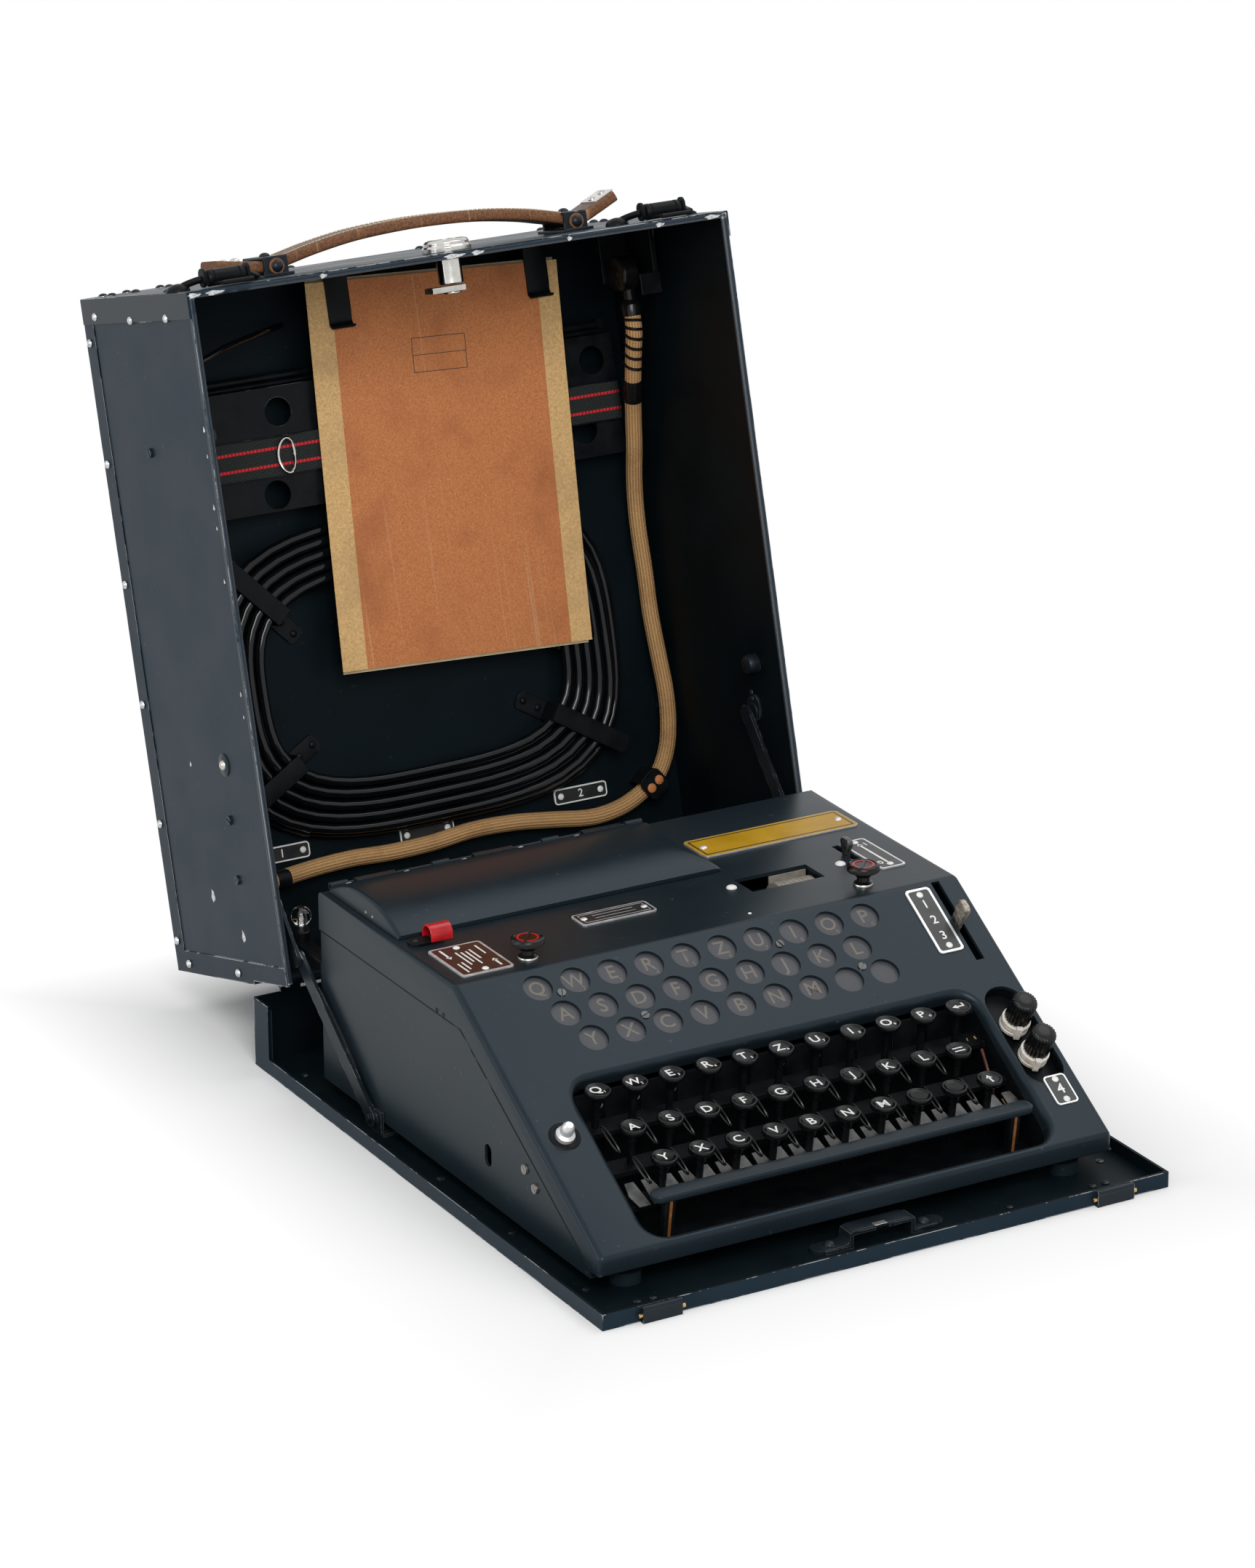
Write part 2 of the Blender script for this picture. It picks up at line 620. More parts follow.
def braided(name, dark, light):
    """Plaited sleeve: ribs along the cable, crossed by the slant of its strands."""
    made = bpy.data.materials.new(name)
    made.use_nodes = True
    tree = made.node_tree
    shader = tree.nodes["Principled BSDF"]
    uv = node(tree, "TexCoord").outputs["UV"]
    parts = node(tree, "SeparateXYZ", {0: uv}).outputs
    ribs = calc(tree, "SINE", calc(tree, "MULTIPLY", parts[0], math.tau * 16))
    slant = calc(tree, "ADD", calc(tree, "MULTIPLY", parts[1], math.tau / 1.1),
                 calc(tree, "MULTIPLY", ribs, 1.4))
    strands = calc(tree, "SINE", slant)
    where = node(tree, "TexCoord").outputs["Object"]
    dirt = noise(tree, where, 60.0, 4)
    fine = noise(tree, where, 1800.0, 3)
    height = calc(tree, "ADD", calc(tree, "MULTIPLY", ribs, 0.6), calc(tree, "MULTIPLY", strands, 0.4))
    tone = calc(tree, "ADD", spread(tree, height, -1.2, 1.2), calc(tree, "SUBTRACT", fine, 0.5), clamp=True)
    colour = mixed(tree, tone, dark, light)
    colour = mixed(tree, calc(tree, "MULTIPLY", spread(tree, dirt, 0.5, 0.75), 0.5), colour, dark)
    tree.links.new(colour, shader.inputs["Base Color"])
    shader.inputs["Roughness"].default_value = 0.78
    bumped = node(tree, "Bump", {"Height": height, "Strength": 0.8, "Distance": 0.35 * MM})
    tree.links.new(bumped.outputs["Normal"], shader.inputs["Normal"])
    return made


braid = braided("tan_braid", (0.24, 0.115, 0.040), (0.70, 0.42, 0.175))


def webbing_material():
    """Dark webbing with two stitched red lines. Its UV is across 0 to 1 and along in mm."""
    made = bpy.data.materials.new("webbing")
    made.use_nodes = True
    tree = made.node_tree
    shader = tree.nodes["Principled BSDF"]
    parts = node(tree, "SeparateXYZ", {0: node(tree, "TexCoord").outputs["UV"]}).outputs
    across, along_it = parts[0], parts[1]
    threads = node(tree, "CombineXYZ", {0: calc(tree, "MULTIPLY", across, 20.0),
                                        1: calc(tree, "MULTIPLY", along_it, 0.8)}).outputs[0]
    height, over = use(tree, WEAVE, Vector=threads)
    colour = mixed(tree, calc(tree, "MULTIPLY", height, spread(tree, over, -0.6, 1.0)),
                   (0.002, 0.003, 0.003), (0.026, 0.034, 0.032))
    near = calc(tree, "ABSOLUTE",
                calc(tree, "SUBTRACT", calc(tree, "ABSOLUTE", calc(tree, "SUBTRACT", across, 0.5)), 0.22))
    line = spread(tree, near, 0.042, 0.032)
    beads = spread(tree, calc(tree, "SINE", calc(tree, "MULTIPLY", along_it, math.tau / 2.2)), -1.0, 0.3)
    colour = mixed(tree, line, colour, mixed(tree, beads, (0.30, 0.004, 0.008), (0.75, 0.02, 0.03)))
    tree.links.new(colour, shader.inputs["Base Color"])
    shader.inputs["Roughness"].default_value = 0.8
    raised = calc(tree, "ADD", height, calc(tree, "MULTIPLY", line, beads))
    bumped = node(tree, "Bump", {"Height": raised, "Strength": 0.9, "Distance": 0.4 * MM})
    tree.links.new(bumped.outputs["Normal"], shader.inputs["Normal"])
    return made


webbing = webbing_material()


def leather_material():
    """Dark strap leather with cracked grain and paler rubbed edges."""
    made = bpy.data.materials.new("strap_leather")
    made.use_nodes = True
    tree = made.node_tree
    shader = tree.nodes["Principled BSDF"]
    where = node(tree, "TexCoord").outputs["Object"]
    cells = node(tree, "TexVoronoi", {"Vector": where, "Scale": 1100.0},
                 feature="DISTANCE_TO_EDGE").outputs["Distance"]
    stretched = node(tree, "Mapping", {"Vector": where, "Scale": (90.0, 420.0, 420.0)}).outputs[0]
    streaks = noise(tree, stretched, 1.0, 6, 0.7)
    colour = mixed(tree, spread(tree, streaks, 0.38, 0.66), (0.040, 0.017, 0.008), (0.17, 0.066, 0.028))
    wear = use(tree, EDGE_WEAR, Reach=1.2 * MM, Amount=0.9, Break_scale=300.0)["Wear"]
    colour = mixed(tree, calc(tree, "MULTIPLY", wear, 0.7), colour, (0.42, 0.20, 0.085))
    tree.links.new(colour, shader.inputs["Base Color"])
    tree.links.new(calc(tree, "MULTIPLY_ADD", streaks, 0.3, 0.28), shader.inputs["Roughness"])
    height = calc(tree, "ADD", spread(tree, cells, 0.0, 0.12), streaks)
    bumped = node(tree, "Bump", {"Height": height, "Strength": 0.5, "Distance": 0.2 * MM})
    tree.links.new(bumped.outputs["Normal"], shader.inputs["Normal"])
    return made


leather = leather_material()
leather_edge = fibrous("cut_leather", (0.075, 0.028, 0.011), (0.24, 0.100, 0.037), (0.040, 0.016, 0.008),
                       700.0)


def glass_material():
    made = bpy.data.materials.new("bulb_glass")
    made.use_nodes = True
    tree = made.node_tree
    shader = tree.nodes["Principled BSDF"]
    where = node(tree, "TexCoord").outputs["Object"]
    smoke = spread(tree, noise(tree, where, 180.0, 3), 0.3, 0.7)
    tree.links.new(mixed(tree, smoke, (0.80, 0.80, 0.80), (0.95, 0.95, 0.95)), shader.inputs["Base Color"])
    tree.links.new(calc(tree, "MULTIPLY_ADD", smoke, 0.06, 0.02), shader.inputs["Roughness"])
    shader.inputs["Transmission Weight"].default_value = 1.0
    shader.inputs["IOR"].default_value = 1.45
    return made


bulb_glass = glass_material()


# ---------- CAD nodes that are shown as they are ----------

def dress(name, material, inside=None, middle=Matrix()):
    """Gives a CAD node its finish, with another one on the faces that look towards a middle point."""
    obj = nodes[name]
    obj.data.materials.clear()
    obj.data.materials.append(material)
    if inside:
        obj.data.materials.append(inside)
    centre = middle.translation * MM
    for face in obj.data.polygons:
        face.material_index = int(bool(inside) and (centre - face.center).dot(face.normal) > 0)


dress("base_tray", case_paint, inner_paint, move(0, 0, 60))
dress("tray_fittings", fitting_paint)
dress("housing_body", housing_paint)
dress("rotor_stack", bare_steel)
dress("cover_shell", case_paint, inner_paint, in_cover(0, 30, COVER_L / 2))
dress("spare_rotor_box", black_metal)
dress("strut_arms", fitting_paint)
dress("strut_links", fitting_paint)


# ---------- housing ----------

def slope_z(y, depth=0.0):
    return TOP_Z - (CREASE_Y - y) * math.tan(SLOPE_ANGLE) - depth / math.cos(SLOPE_ANGLE)


def housing_shell():
    """Top and slope pressed from one sheet, with rounded edges."""
    outline = [(SKIRT_Y, SKIRT_BOTTOM), (SKIRT_Y + 10, SKIRT_BOTTOM), (SEAM_Y, SEAM_Z),
               (HOUSING_BACK, SEAM_Z),
               (HOUSING_BACK, TOP_Z), (CREASE_Y, TOP_Z), (SKIRT_Y, SKIRT_TOP)]
    outline = filleted(outline, [1, 0, 0, 0, 3, 7, 3])
    x, r = HOUSING_X, 3.0
    rings = []
    for k in range(7):
        a = math.radians(15 * k)
        inset = r * (1 - math.sin(a))
        rings.append((-x + r * (1 - math.cos(a)), inset))
    rings += [(-px, inset) for px, inset in reversed(rings)]
    shrink = inset_outline(outline)
    return loft([[(px, *shrink(p, inset)) for p in outline] for px, inset in rings])


def inset_outline(outline):
    """Moves a point of the outline inwards along its own normal, apart from the open lower side."""
    n = len(outline)
    normals = {}
    for i, p in enumerate(outline):
        a, b = Vector(outline[i - 1]), Vector(outline[(i + 1) % n])
        t = (b - a).normalized()
        normals[p] = Vector((-t.y, t.x))

    def shrink(p, inset):
        on_top = p[1] > slope_z(p[0], 8) - 0.01 and not (p[0] > HOUSING_BACK - 1 and p[1] < TOP_Z - 4)
        return tuple(Vector(p) + normals[p] * inset) if on_top else p

    return shrink


def slope_prism(outline, h0, h1, x=0, s=0):
    return prism(outline, h0, h1).at(on_slope(x, s, 0))


def keyboard_hole():
    w, l = 2 * (OPENING_X + LIP_R), OPENING_S[1] - OPENING_S[0] + 2 * LIP_R
    return slope_prism(round_rect(w, l, 12 + LIP_R, 8), -12, 12, 0, sum(OPENING_S) / 2)


def housing_openings():
    """The other openings of the hood. They don't overlap each other."""
    cuts = []
    for row in range(3):
        for i in range((10, 9, 9)[row]):
            cuts.append(rod(LAMP_R, 8, 40).at(on_slope(LAMP_X[row] + i * LAMP_PITCH, LAMP_S[row], -5)))
    for x0, y0, x1, y1 in (COUNTER_WINDOW, ROTOR_HOLE, RESET_SLOT):
        cuts.append(cuboid((x0, y0, TOP_Z - 6), (x1, y1, TOP_Z + 3)))
    cuts.append(slope_prism([(132.5, -54), (137.5, -54), (137.5, -1), (132.5, -1)], -6, 6))
    cuts.append(rod(8.3, 12, 32).at(on_slope(-134.6, 100.7, -6)))
    cuts.append(slope_prism(stadium(-136.5, -72.5, 11.5), -6, 6, 134.2))
    return cuts


def housing_cavity():
    flat_y = CREASE_Y + SKIN * math.tan(SLOPE_ANGLE / 2)
    front = SKIRT_Y + SKIN
    outline = [(front, 0), (HOUSING_BACK - SKIN, 0), (HOUSING_BACK - SKIN, TOP_Z - SKIN),
               (flat_y, TOP_Z - SKIN),
               (front, slope_z(front, SKIN))]
    x = HOUSING_X - SKIN
    return loft([[(px, y, z) for y, z in outline] for px in (-x, x)])


def rolled_lip():
    """The edge of the keyboard opening, rolled inwards and down."""
    w, l = 2 * OPENING_X, OPENING_S[1] - OPENING_S[0]
    rings = []
    for k in range(7):
        a = math.radians(15 * k)
        g = LIP_R * (1 - math.sin(a))
        rings.append((g, -LIP_R * (1 - math.cos(a))))
    rings += [(0, -LIP_R - 5), (1.2, -LIP_R - 5), (1.2, -LIP_R)]
    rings += [(g + 1.2, h - 1.2) for g, h in reversed(rings[:6])]
    skins = [[(x, y, h) for x, y in round_rect(w + 2 * g, l + 2 * g, 12 + g, 8)] for g, h in rings]
    return loft(skins + [skins[0]], caps=False).at(on_slope(0, sum(OPENING_S) / 2, 0))


def build_hood():
    hood = make_object("hood_sheet", housing_shell(), [housing_paint])
    cut(hood, housing_cavity())
    cut(hood, keyboard_hole())
    cut(hood, joined(housing_openings()))
    finish_edges(hood, 0.0, 40)
    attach(hood, "base")
    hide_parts("housing_hood")
    piece("keyboard_lip", rolled_lip(), "base", housing_paint)
    knuckles = joined([rod(2.1, 10, 20).at(move(x, 136, TOP_Z + 2.1) @ along("X"))
                       for x in (-144, -84, -18, 33)])
    knuckles += rod(1, 187, 12).at(move(-144, 136, TOP_Z + 2.1) @ along("X"))
    knuckles += rod(3, 1.4, 24).at(move(-141, 46, TOP_Z - 0.5)) + rivet(1.6, 1.0).at(move(-141, 46, TOP_Z
                                                                                          + 2.1))
    piece("lid_hinge", knuckles, "base", housing_paint)


build_hood()


def seam_lines():
    """Dark joint where the hood's sides overlap the sides of the body."""
    line = [(HOUSING_BACK - 1, SEAM_Z), (SEAM_Y, SEAM_Z), (SKIRT_Y + 10, SKIRT_BOTTOM + 1)]
    shapes = []
    for x in (-HOUSING_X, HOUSING_X):
        for (y0, z0), (y1, z1) in zip(line, line[1:]):
            shapes.append(tube([(x, y0, z0), (x, y1, z1)], 0.32, 6))
    piece("seam_lines", joined(shapes), "base", black_metal)


seam_lines()


def lamp_field():
    """Frosted discs under the slope, each with its letter."""
    discs, letters, figures = [], [], []
    names = ("QWERTZUIOP", "ASDFGHJKL", "YXCVBNM")
    depth = -2.1
    for row in range(3):
        for i in range((10, 9, 9)[row]):
            spot = on_slope(LAMP_X[row] + i * LAMP_PITCH, LAMP_S[row], depth)
            discs.append(rod(LAMP_R + 0.6, 0.5, 40).at(spot @ move(0, 0, -0.5)))
            if i < len(names[row]):
                letters.append(writing(names[row][i], 11.5).at(spot @ move(0.4, 0.6, 0.05)))
                if row == 0:
                    figures.append(writing(str((i + 1) % 10), 4).at(spot @ move(3.4, -5, 0.05)))
    plate = cuboid((-117, -28, -1), (117, 28, 0)).at(on_slope(0, 30, depth - 0.5))
    shapes = plate.mat(2) + joined(discs) + joined(letters + figures).mat(1)
    piece("lamp_field", shapes, "base", [lamp_frost, lamp_ochre, black_metal], replaces="lamp_panel")


lamp_field()


def label(w, h, marks=None, border=1.4, rivets=True):
    """A riveted plate: silver rim, coloured field and its marks, drawn flat with its corner rivets."""
    out = prism(round_rect(w, h, 2.2), 0, 0.8)
    out += prism(round_rect(w - 2 * border, h - 2 * border, 1.4), 0.7, 0.86).mat(1)
    if rivets:
        span = max(w, h) / 2 - min(4.2, max(w, h) * 0.15)
        for s in (-1, 1):
            spot = move(0, s * span, 0.8) if h > w else move(s * span, 0, 0.8)
            out += rivet(1.9, 0.9).at(spot).mat(2)
    if marks:
        out += marks.at(move(0, 0, 0.9)).mat(2)
    return out


def arrow(length, width=1.0):
    shaft = cuboid((-length / 2, -width / 2, 0), (length / 2 - 2, width / 2, 0.08))
    return shaft + prism([(length / 2 - 3, -1.8), (length / 2, 0), (length / 2 - 3, 1.8)], 0, 0.08)


def rule(w, x=0, y=0, t=0.35):
    return cuboid((x - w / 2, y - t / 2, 0), (x + w / 2, y + t / 2, 0.08))


def frame_line(w, h, t=0.4):
    return rule(w, 0, h / 2, t) + rule(w, 0, -h / 2, t) + rule(h, 0, w / 2, t).at(turn(90, "Z")) \
        + rule(h, 0, -w / 2, t).at(turn(90, "Z"))


def plates():
    """Riveted plates. Words are left out: they carry arrows, rules and plain figures."""
    marks = arrow(13, 1.3).at(move(-9.5, 9.5) @ turn(-90, "Z")) + arrow(10, 1.3).at(move(9.5, -10.5)
                                                                                    @ turn(90, "Z"))
    lines = ((-3.6, 1, 18), (-0.9, 2, 14), (1.8, 0, 18), (4.5, 4, 13), (9.6, 8, 12), (-9.6, -10, 12),
             (-6.9, -8, 10))
    marks += joined([rule(w, y, -x, 1.0).at(turn(90, "Z")) for x, y, w in lines])
    brown = label(30, 39, marks, rivets=False)
    brown += joined([rivet(1.9, 0.9).at(move(0, y, 0.8)) for y in (-15.6, 15.6)]).mat(2)
    piece("turning_plate", brown.at(move(-126, 14.5, TOP_Z)), "base",
          [silver_plate, plate_brown, white_enamel],
          bevel=0.12)
    rules = frame_line(38, 10) + rule(24, 0, 2) + rule(24, 0, -1.6)
    name = label(44, 15, rules, 1.0).at(move(-33, 31.5, TOP_Z))
    piece("blank_plate", name, "base", [silver_plate, plate_black, silver_plate], bevel=0.12)
    yellow = prism(round_rect(96, 25, 3), 0, 0.8) + prism(round_rect(95.6, 24.6, 2.8), 0.7, 0.84).mat(1)
    yellow += frame_line(91, 20, 0.9).at(move(0, 0, 0.86)).mat(2)
    yellow += joined([rivet(2.2, 1).at(move(s * 42, 0, 0.8)) for s in (-1, 1)]).mat(3)
    piece("warning_place", yellow.at(move(96, 88.5, TOP_Z)), "base",
          [silver_plate, plate_yellow, plate_black, silver_plate], bevel=0.12)
    long_arrow = arrow(30, 1.4).at(turn(90, "Z"))
    long_arrow += writing("0", 6).at(move(-3.6, -14)) + writing("1", 6).at(move(3.6, 13))
    reset = label(15.5, 43.5, long_arrow, 1.2).at(move(127.2, 36.2, TOP_Z))
    piece("reset_plate", reset, "base", [silver_plate, plate_black, white_enamel], bevel=0.12)
    figures = joined([writing(t, 7.5).at(move(0, y, 0)) for t, y in (("1", 10.5), ("2", 0), ("3", -10.5))])
    selector = label(15, 42.5, figures, 1.4).at(on_slope(122, 24.75, 0))
    piece("selector_plate", selector, "base", [silver_plate, plate_black, white_enamel], bevel=0.12)
    volts = label(13, 18.5, writing("4", 8.5), 0.9).at(on_slope(136, 141.5, 0))
    piece("post_plate", volts, "base", [silver_plate, plate_black, white_enamel], bevel=0.12,
          replaces="housing_fittings")


plates()


def housing_screws():
    heads = [slotted_screw(2.3, 1.3, 0.7, a).at(on_slope(x, s, -0.6)) for x, s, a in
             ((-96.6, 18, 70), (-59.9, 42.1, 20), (31.7, 18, 110), (68.6, 42.4, 45))]
    piece("panel_screws", joined(heads), "base", dark_steel, bevel=0.12)
    domes = [rivet(2.9, 1.5).at(move(x, y, TOP_Z)) for x, y in ((38.3, 32.7), (105.2, 33))]
    domes += [rivet(1.0, 0.5).at(move(28, -3, TOP_Z))]
    piece("window_rivets", joined(domes), "base", white_enamel)
    left = [slotted_screw(2.6, 1.2, 0.7, 40).at(move(-HOUSING_X + 0.5, y, z) @ turn(-90, "Y"))
            for y, z in ((-83.8, 41.2), (-94.1, 34.6))]
    piece("side_screws", joined(left), "base", bare_steel, bevel=0.1)
    seam = [rivet(1.3, 0.8).at(move(-HOUSING_X, y, z) @ turn(-90, "Y"))
            for y, z in ((7.1, 93.6), (0.1, 93.5))]
    piece("seam_pins", joined(seam), "base", fitting_paint)


housing_screws()


def counter_window():
    """Counter behind the window: beige drums on the right, a dark mesh screen on the left."""
    rings = [(10.6 + (0.5 if k % 4 < 3 else 0), 22 * k / 32) for k in range(33)]
    drums = lathe([(0, 0)] + rings + [(0, 22)], 48).at(move(65, 32, TOP_Z - 14) @ along("X"))
    drums += cuboid((66, 40.8, TOP_Z - 12), (88.6, 41.6, TOP_Z - 2.2))
    screen = joined([cuboid((47 + 1.6 * k, 22.5, TOP_Z - 9), (47.6 + 1.6 * k, 41.5, TOP_Z - 8.2))
                     for k in range(11)])
    screen += cuboid((43, 21, TOP_Z - 12), (65, 43, TOP_Z - 9.2)).mat(1)
    box = cuboid((43, 20, TOP_Z - 22), (91, 44, TOP_Z - 20)).mat(1)
    for x0, x1 in ((43, 44.5), (89.5, 91)):
        box += cuboid((x0, 20, TOP_Z - 22), (x1, 44, TOP_Z - 2)).mat(1)
    piece("counter_drums", drums, "base", drum_beige)
    piece("counter_screen", screen.mat(0) + box, "base", [dark_glass, black_metal])


counter_window()


def button_and_posts():
    spot = on_slope(-134.6, 100.7, 0)
    bush = lathe([(5.05, -6), (8.3, -6), (8.3, 0.2), (7.6, 0.6), (6.4, 0.7), (6.2, 0.2), (5.05, 0.2),
                  (5.05, -6)], 40)
    piece("button_bush", bush.at(spot), "base", black_metal)
    stem = lathe([(0, -14), (5, -14), (5, 2.5), (4.2, 3.2), (3.4, 3.6), (3.4, 6.5), (3.0, 8.6), (2.0, 9.8),
                  (0, 10)], 32)
    piece("push_stem", stem.at(spot), "push_button", [silver_plate], replaces="push_button")
    cup = loft([[(x, y, z) for x, y in stadium(-136.5 - g, -72.5 + g, 11.5 + g)]
                for g, z in ((0, -2), (0, -8), (1.5, -8), (1.5, -9.5), (1.5, -2), (0, -2))], caps=False)
    cup += prism(stadium(-136.5, -72.5, 11.5), -9.5, -8)
    piece("post_cup", cup.at(on_slope(134.2, 0, 0)), "base", black_metal)
    for name, s in (("rear", 95), ("front", 116)):
        here = on_slope(134.2, s, 0)
        collar = lathe([(2.6, -4.6), (7.6, -4.6), (7.9, -4.2), (7.9, -2.6), (7.3, -2.3), (7.3, -1.8),
                        (7.8, -1.5),
                        (7.8, 1.5), (7.2, 2), (2.6, 2), (2.6, -4.6)], 32)
        tab = cuboid((-1.6, -9.6, -4), (1.6, -7, 4.0)).at(turn(-20, "Z"))
        under = rod(6.8, 3.4, 28).at(move(0, 0, -8)).mat(1)
        piece("collar_" + name, (collar + tab + under).at(here), "base", [worn_white, black_metal],
              bevel=0.3)
        ribs = []
        for k in range(96):
            a = math.tau * k / 96
            ribs.append((math.cos(a), math.sin(a), 6.6 if k % 4 < 2 else 6.1))
        side = [[(r * c * f, r * s_ * f, z) for c, s_, r in ribs] for f, z in
                ((0.9, 2.2), (1.04, 2.8), (1.04, 15.2), (0.97, 16.4), (0.84, 17.2), (0.3, 17.5))]
        knob = loft(side) + rod(2.5, 9, 20).at(move(0, 0, -6))
        piece("post_cap_" + name, knob.at(here), "post_knob_" + name, [knob_black],
              replaces="post_knob_" + name, angle=50)


button_and_posts()


def thumb_screws():
    """Knurled black heads with a red ring and a nickel collar."""
    n = 120
    for side, x in (("left", -100), ("right", 100)):
        knurl = [(math.cos(math.tau * k / n), math.sin(math.tau * k / n), 0.28 * (k % 2)) for k in range(n)]
        head = [[((r + d * dip) * c, (r + d * dip) * s, z) for c, s, d in knurl] for r, dip, z in
                ((7.9, 0, 7.6), (8.3, 1, 8.0), (8.3, 1, 10.9), (7.9, 0, 11.4), (7.0, 0, 11.7),
                 (6.6, 0, 11.2))]
        screw = lathe([(0, -8), (2.5, -8), (2.5, 0.2), (4.6, 0.2), (5, 0.6), (5, 1.5), (3.4, 2.4),
                       (3.2, 4.6),
                       (4.2, 5.0), (4.4, 5.6), (3.6, 6.2), (4.6, 7.3), (7.9, 7.6)], 40) + loft(head)
        ring = lathe([(4.7, 11.1), (5.9, 11.1), (5.8, 11.5), (4.8, 11.5), (4.7, 11.1)], 40).mat(1)
        collar = lathe([(3.8, 0.1), (5.3, 0.1), (5.3, 0.8), (5.0, 1.2), (3.8, 1.2), (3.8, 0.1)], 32).mat(2)
        slot_line = cuboid((-6.4, -0.6, 11.0), (6.4, 0.6, 11.75)).at(turn(50, "Z"))
        piece("thumb_head_" + side, (screw + ring + collar + slot_line).at(move(x, 2, TOP_Z)),
              "thumb_screw_" + side, [knob_black, red_enamel, nickel], angle=50,
              replaces="thumb_screw_" + side)


thumb_screws()


def levers():
    nib = loft([[(x, y, z) for x, y in round_rect(3.2, w, 0.8, 3)] for w, z in
                ((5, 0), (5.4, 2), (8.2, 4.4), (8.2, 6.8), (6.8, 8.1), (4.5, 8.5))])
    for k in range(4):
        nib += cuboid((-1.9, -3.4 + 2 * k, 4.2), (1.9, -2.6 + 2 * k, 7.6))
    arm = cuboid((-1, -2.5, -22), (1, 2.5, 1)) + rod(4, 2, 24).at(move(-1, 0, -22) @ along("X"))
    piece("reset_nib", (nib + arm).at(move(116.5, 45, TOP_Z)), "reset_lever", dark_steel, bevel=0.25,
          replaces="reset_lever")
    blade = cuboid((-1, -4, -45), (1, 4, 6)) + rod(5, 2, 28).at(move(-1, 0, -45) @ along("X"))
    blade += loft([[(x, y, z) for x, y in round_rect(2.2 + w / 5, w, 0.9, 3)] for w, z in
                   ((8, 5), (8.6, 8), (8.6, 10.5), (7.6, 12.5), (5, 13.6))])
    piece("power_tab", blade.at(on_slope(135, 27.5, 0)), "power_lever", rusty_steel, bevel=0.3,
          replaces="power_lever")


levers()


def spare_bulb():
    spot = move(-144.5, 170, 72)
    glass = lathe([(2.4, 10), (3.2, 11)]
                  + [(5.4 * math.cos(math.radians(a)), 15.4 + 5.4 * math.sin(math.radians(a)))
                                             for a in range(-50, 90, 12)] + [(0, 20.8)], 32)
    piece("bulb_glass", glass.at(spot), "base", bulb_glass)
    base = lathe([(0, 1.5), (4.6, 1.5), (4.6, 7), (4.2, 7.4), (4.6, 8), (4.2, 9), (3.4, 10.5), (0, 10.5)],
                 32)
    coil = rod(0.35, 5, 8).at(move(-1.2, 0, 10.5)) + rod(0.35, 5, 8).at(move(1.2, 0, 10.5))
    piece("bulb_base", (base + coil).at(spot), "base", black_metal)
    bracket = cuboid((-5, -33, 0), (5, 6, 1.5)) + cuboid((-5, -33, -14), (5, -31.5, 1.5))
    piece("bulb_bracket", bracket.at(spot), "base", black_metal, bevel=0.3)


spare_bulb()


# ---------- rotor lid and its catch ----------

LID_X = (-146, 45)
LID_Y = (55.5, 133.5)
LID_RISE = 10.5
LID_FALL = 29
LID_SOFT = 3.0
LID_FOOT = TOP_Z + 0.3


def lid_height(x, y, under=0.0):
    """Height of the lid: an arch whose height falls in a long curve to its right end."""
    half = (LID_Y[1] - LID_Y[0]) / 2
    r = (half ** 2 + LID_RISE ** 2) / (2 * LID_RISE)
    arch = math.sqrt(max((r - under) ** 2 - (y - LID_Y[0] - half) ** 2, 0)) - (r - LID_RISE)
    fall_r = (LID_FALL ** 2 + LID_RISE ** 2) / (2 * LID_RISE)
    over = max(x - (LID_X[1] - LID_FALL), 0)
    fall = math.sqrt((fall_r - under) ** 2 - over ** 2) - (fall_r - LID_RISE)
    soft = max(LID_SOFT - abs(arch - fall), 0) ** 2 / (4 * LID_SOFT)
    return LID_FOOT + 2 + min(arch, fall) - soft


def lid_block(x0, x1, inset, low, under, corner=0.0):
    """The lid's outside or its hollow as one closed solid, with its upper left edge rounded."""
    ys = [LID_Y[0] + inset + (LID_Y[1] - LID_Y[0] - 2 * inset) * (0.5 - 0.5 * math.cos(math.pi * k / 28))
          for k in range(29)]
    xs = [x0 + corner * (1 - math.cos(math.radians(15 * k))) for k in range(6)] if corner else [x0]
    xs += [x0 + max(corner, 1) + (LID_X[1] - LID_FALL - x0 - max(corner, 1)) * k / 8 for k in range(9)]
    xs += [LID_X[1] - LID_FALL + (x1 - LID_X[1] + LID_FALL) * k / 14 for k in range(1, 15)]
    rings = []
    for x in xs:
        near = max(0.0, 1 - (x - x0) / corner) if corner else 0.0
        drop = corner * (1 - math.sqrt(1 - near ** 2))
        skin = [(x, y, max(lid_height(x, y, under) - drop, low + 0.2)) for y in ys]
        rings.append([(x, LID_Y[0] + inset, low)] + skin + [(x, LID_Y[1] - inset, low)])
    return loft(rings)


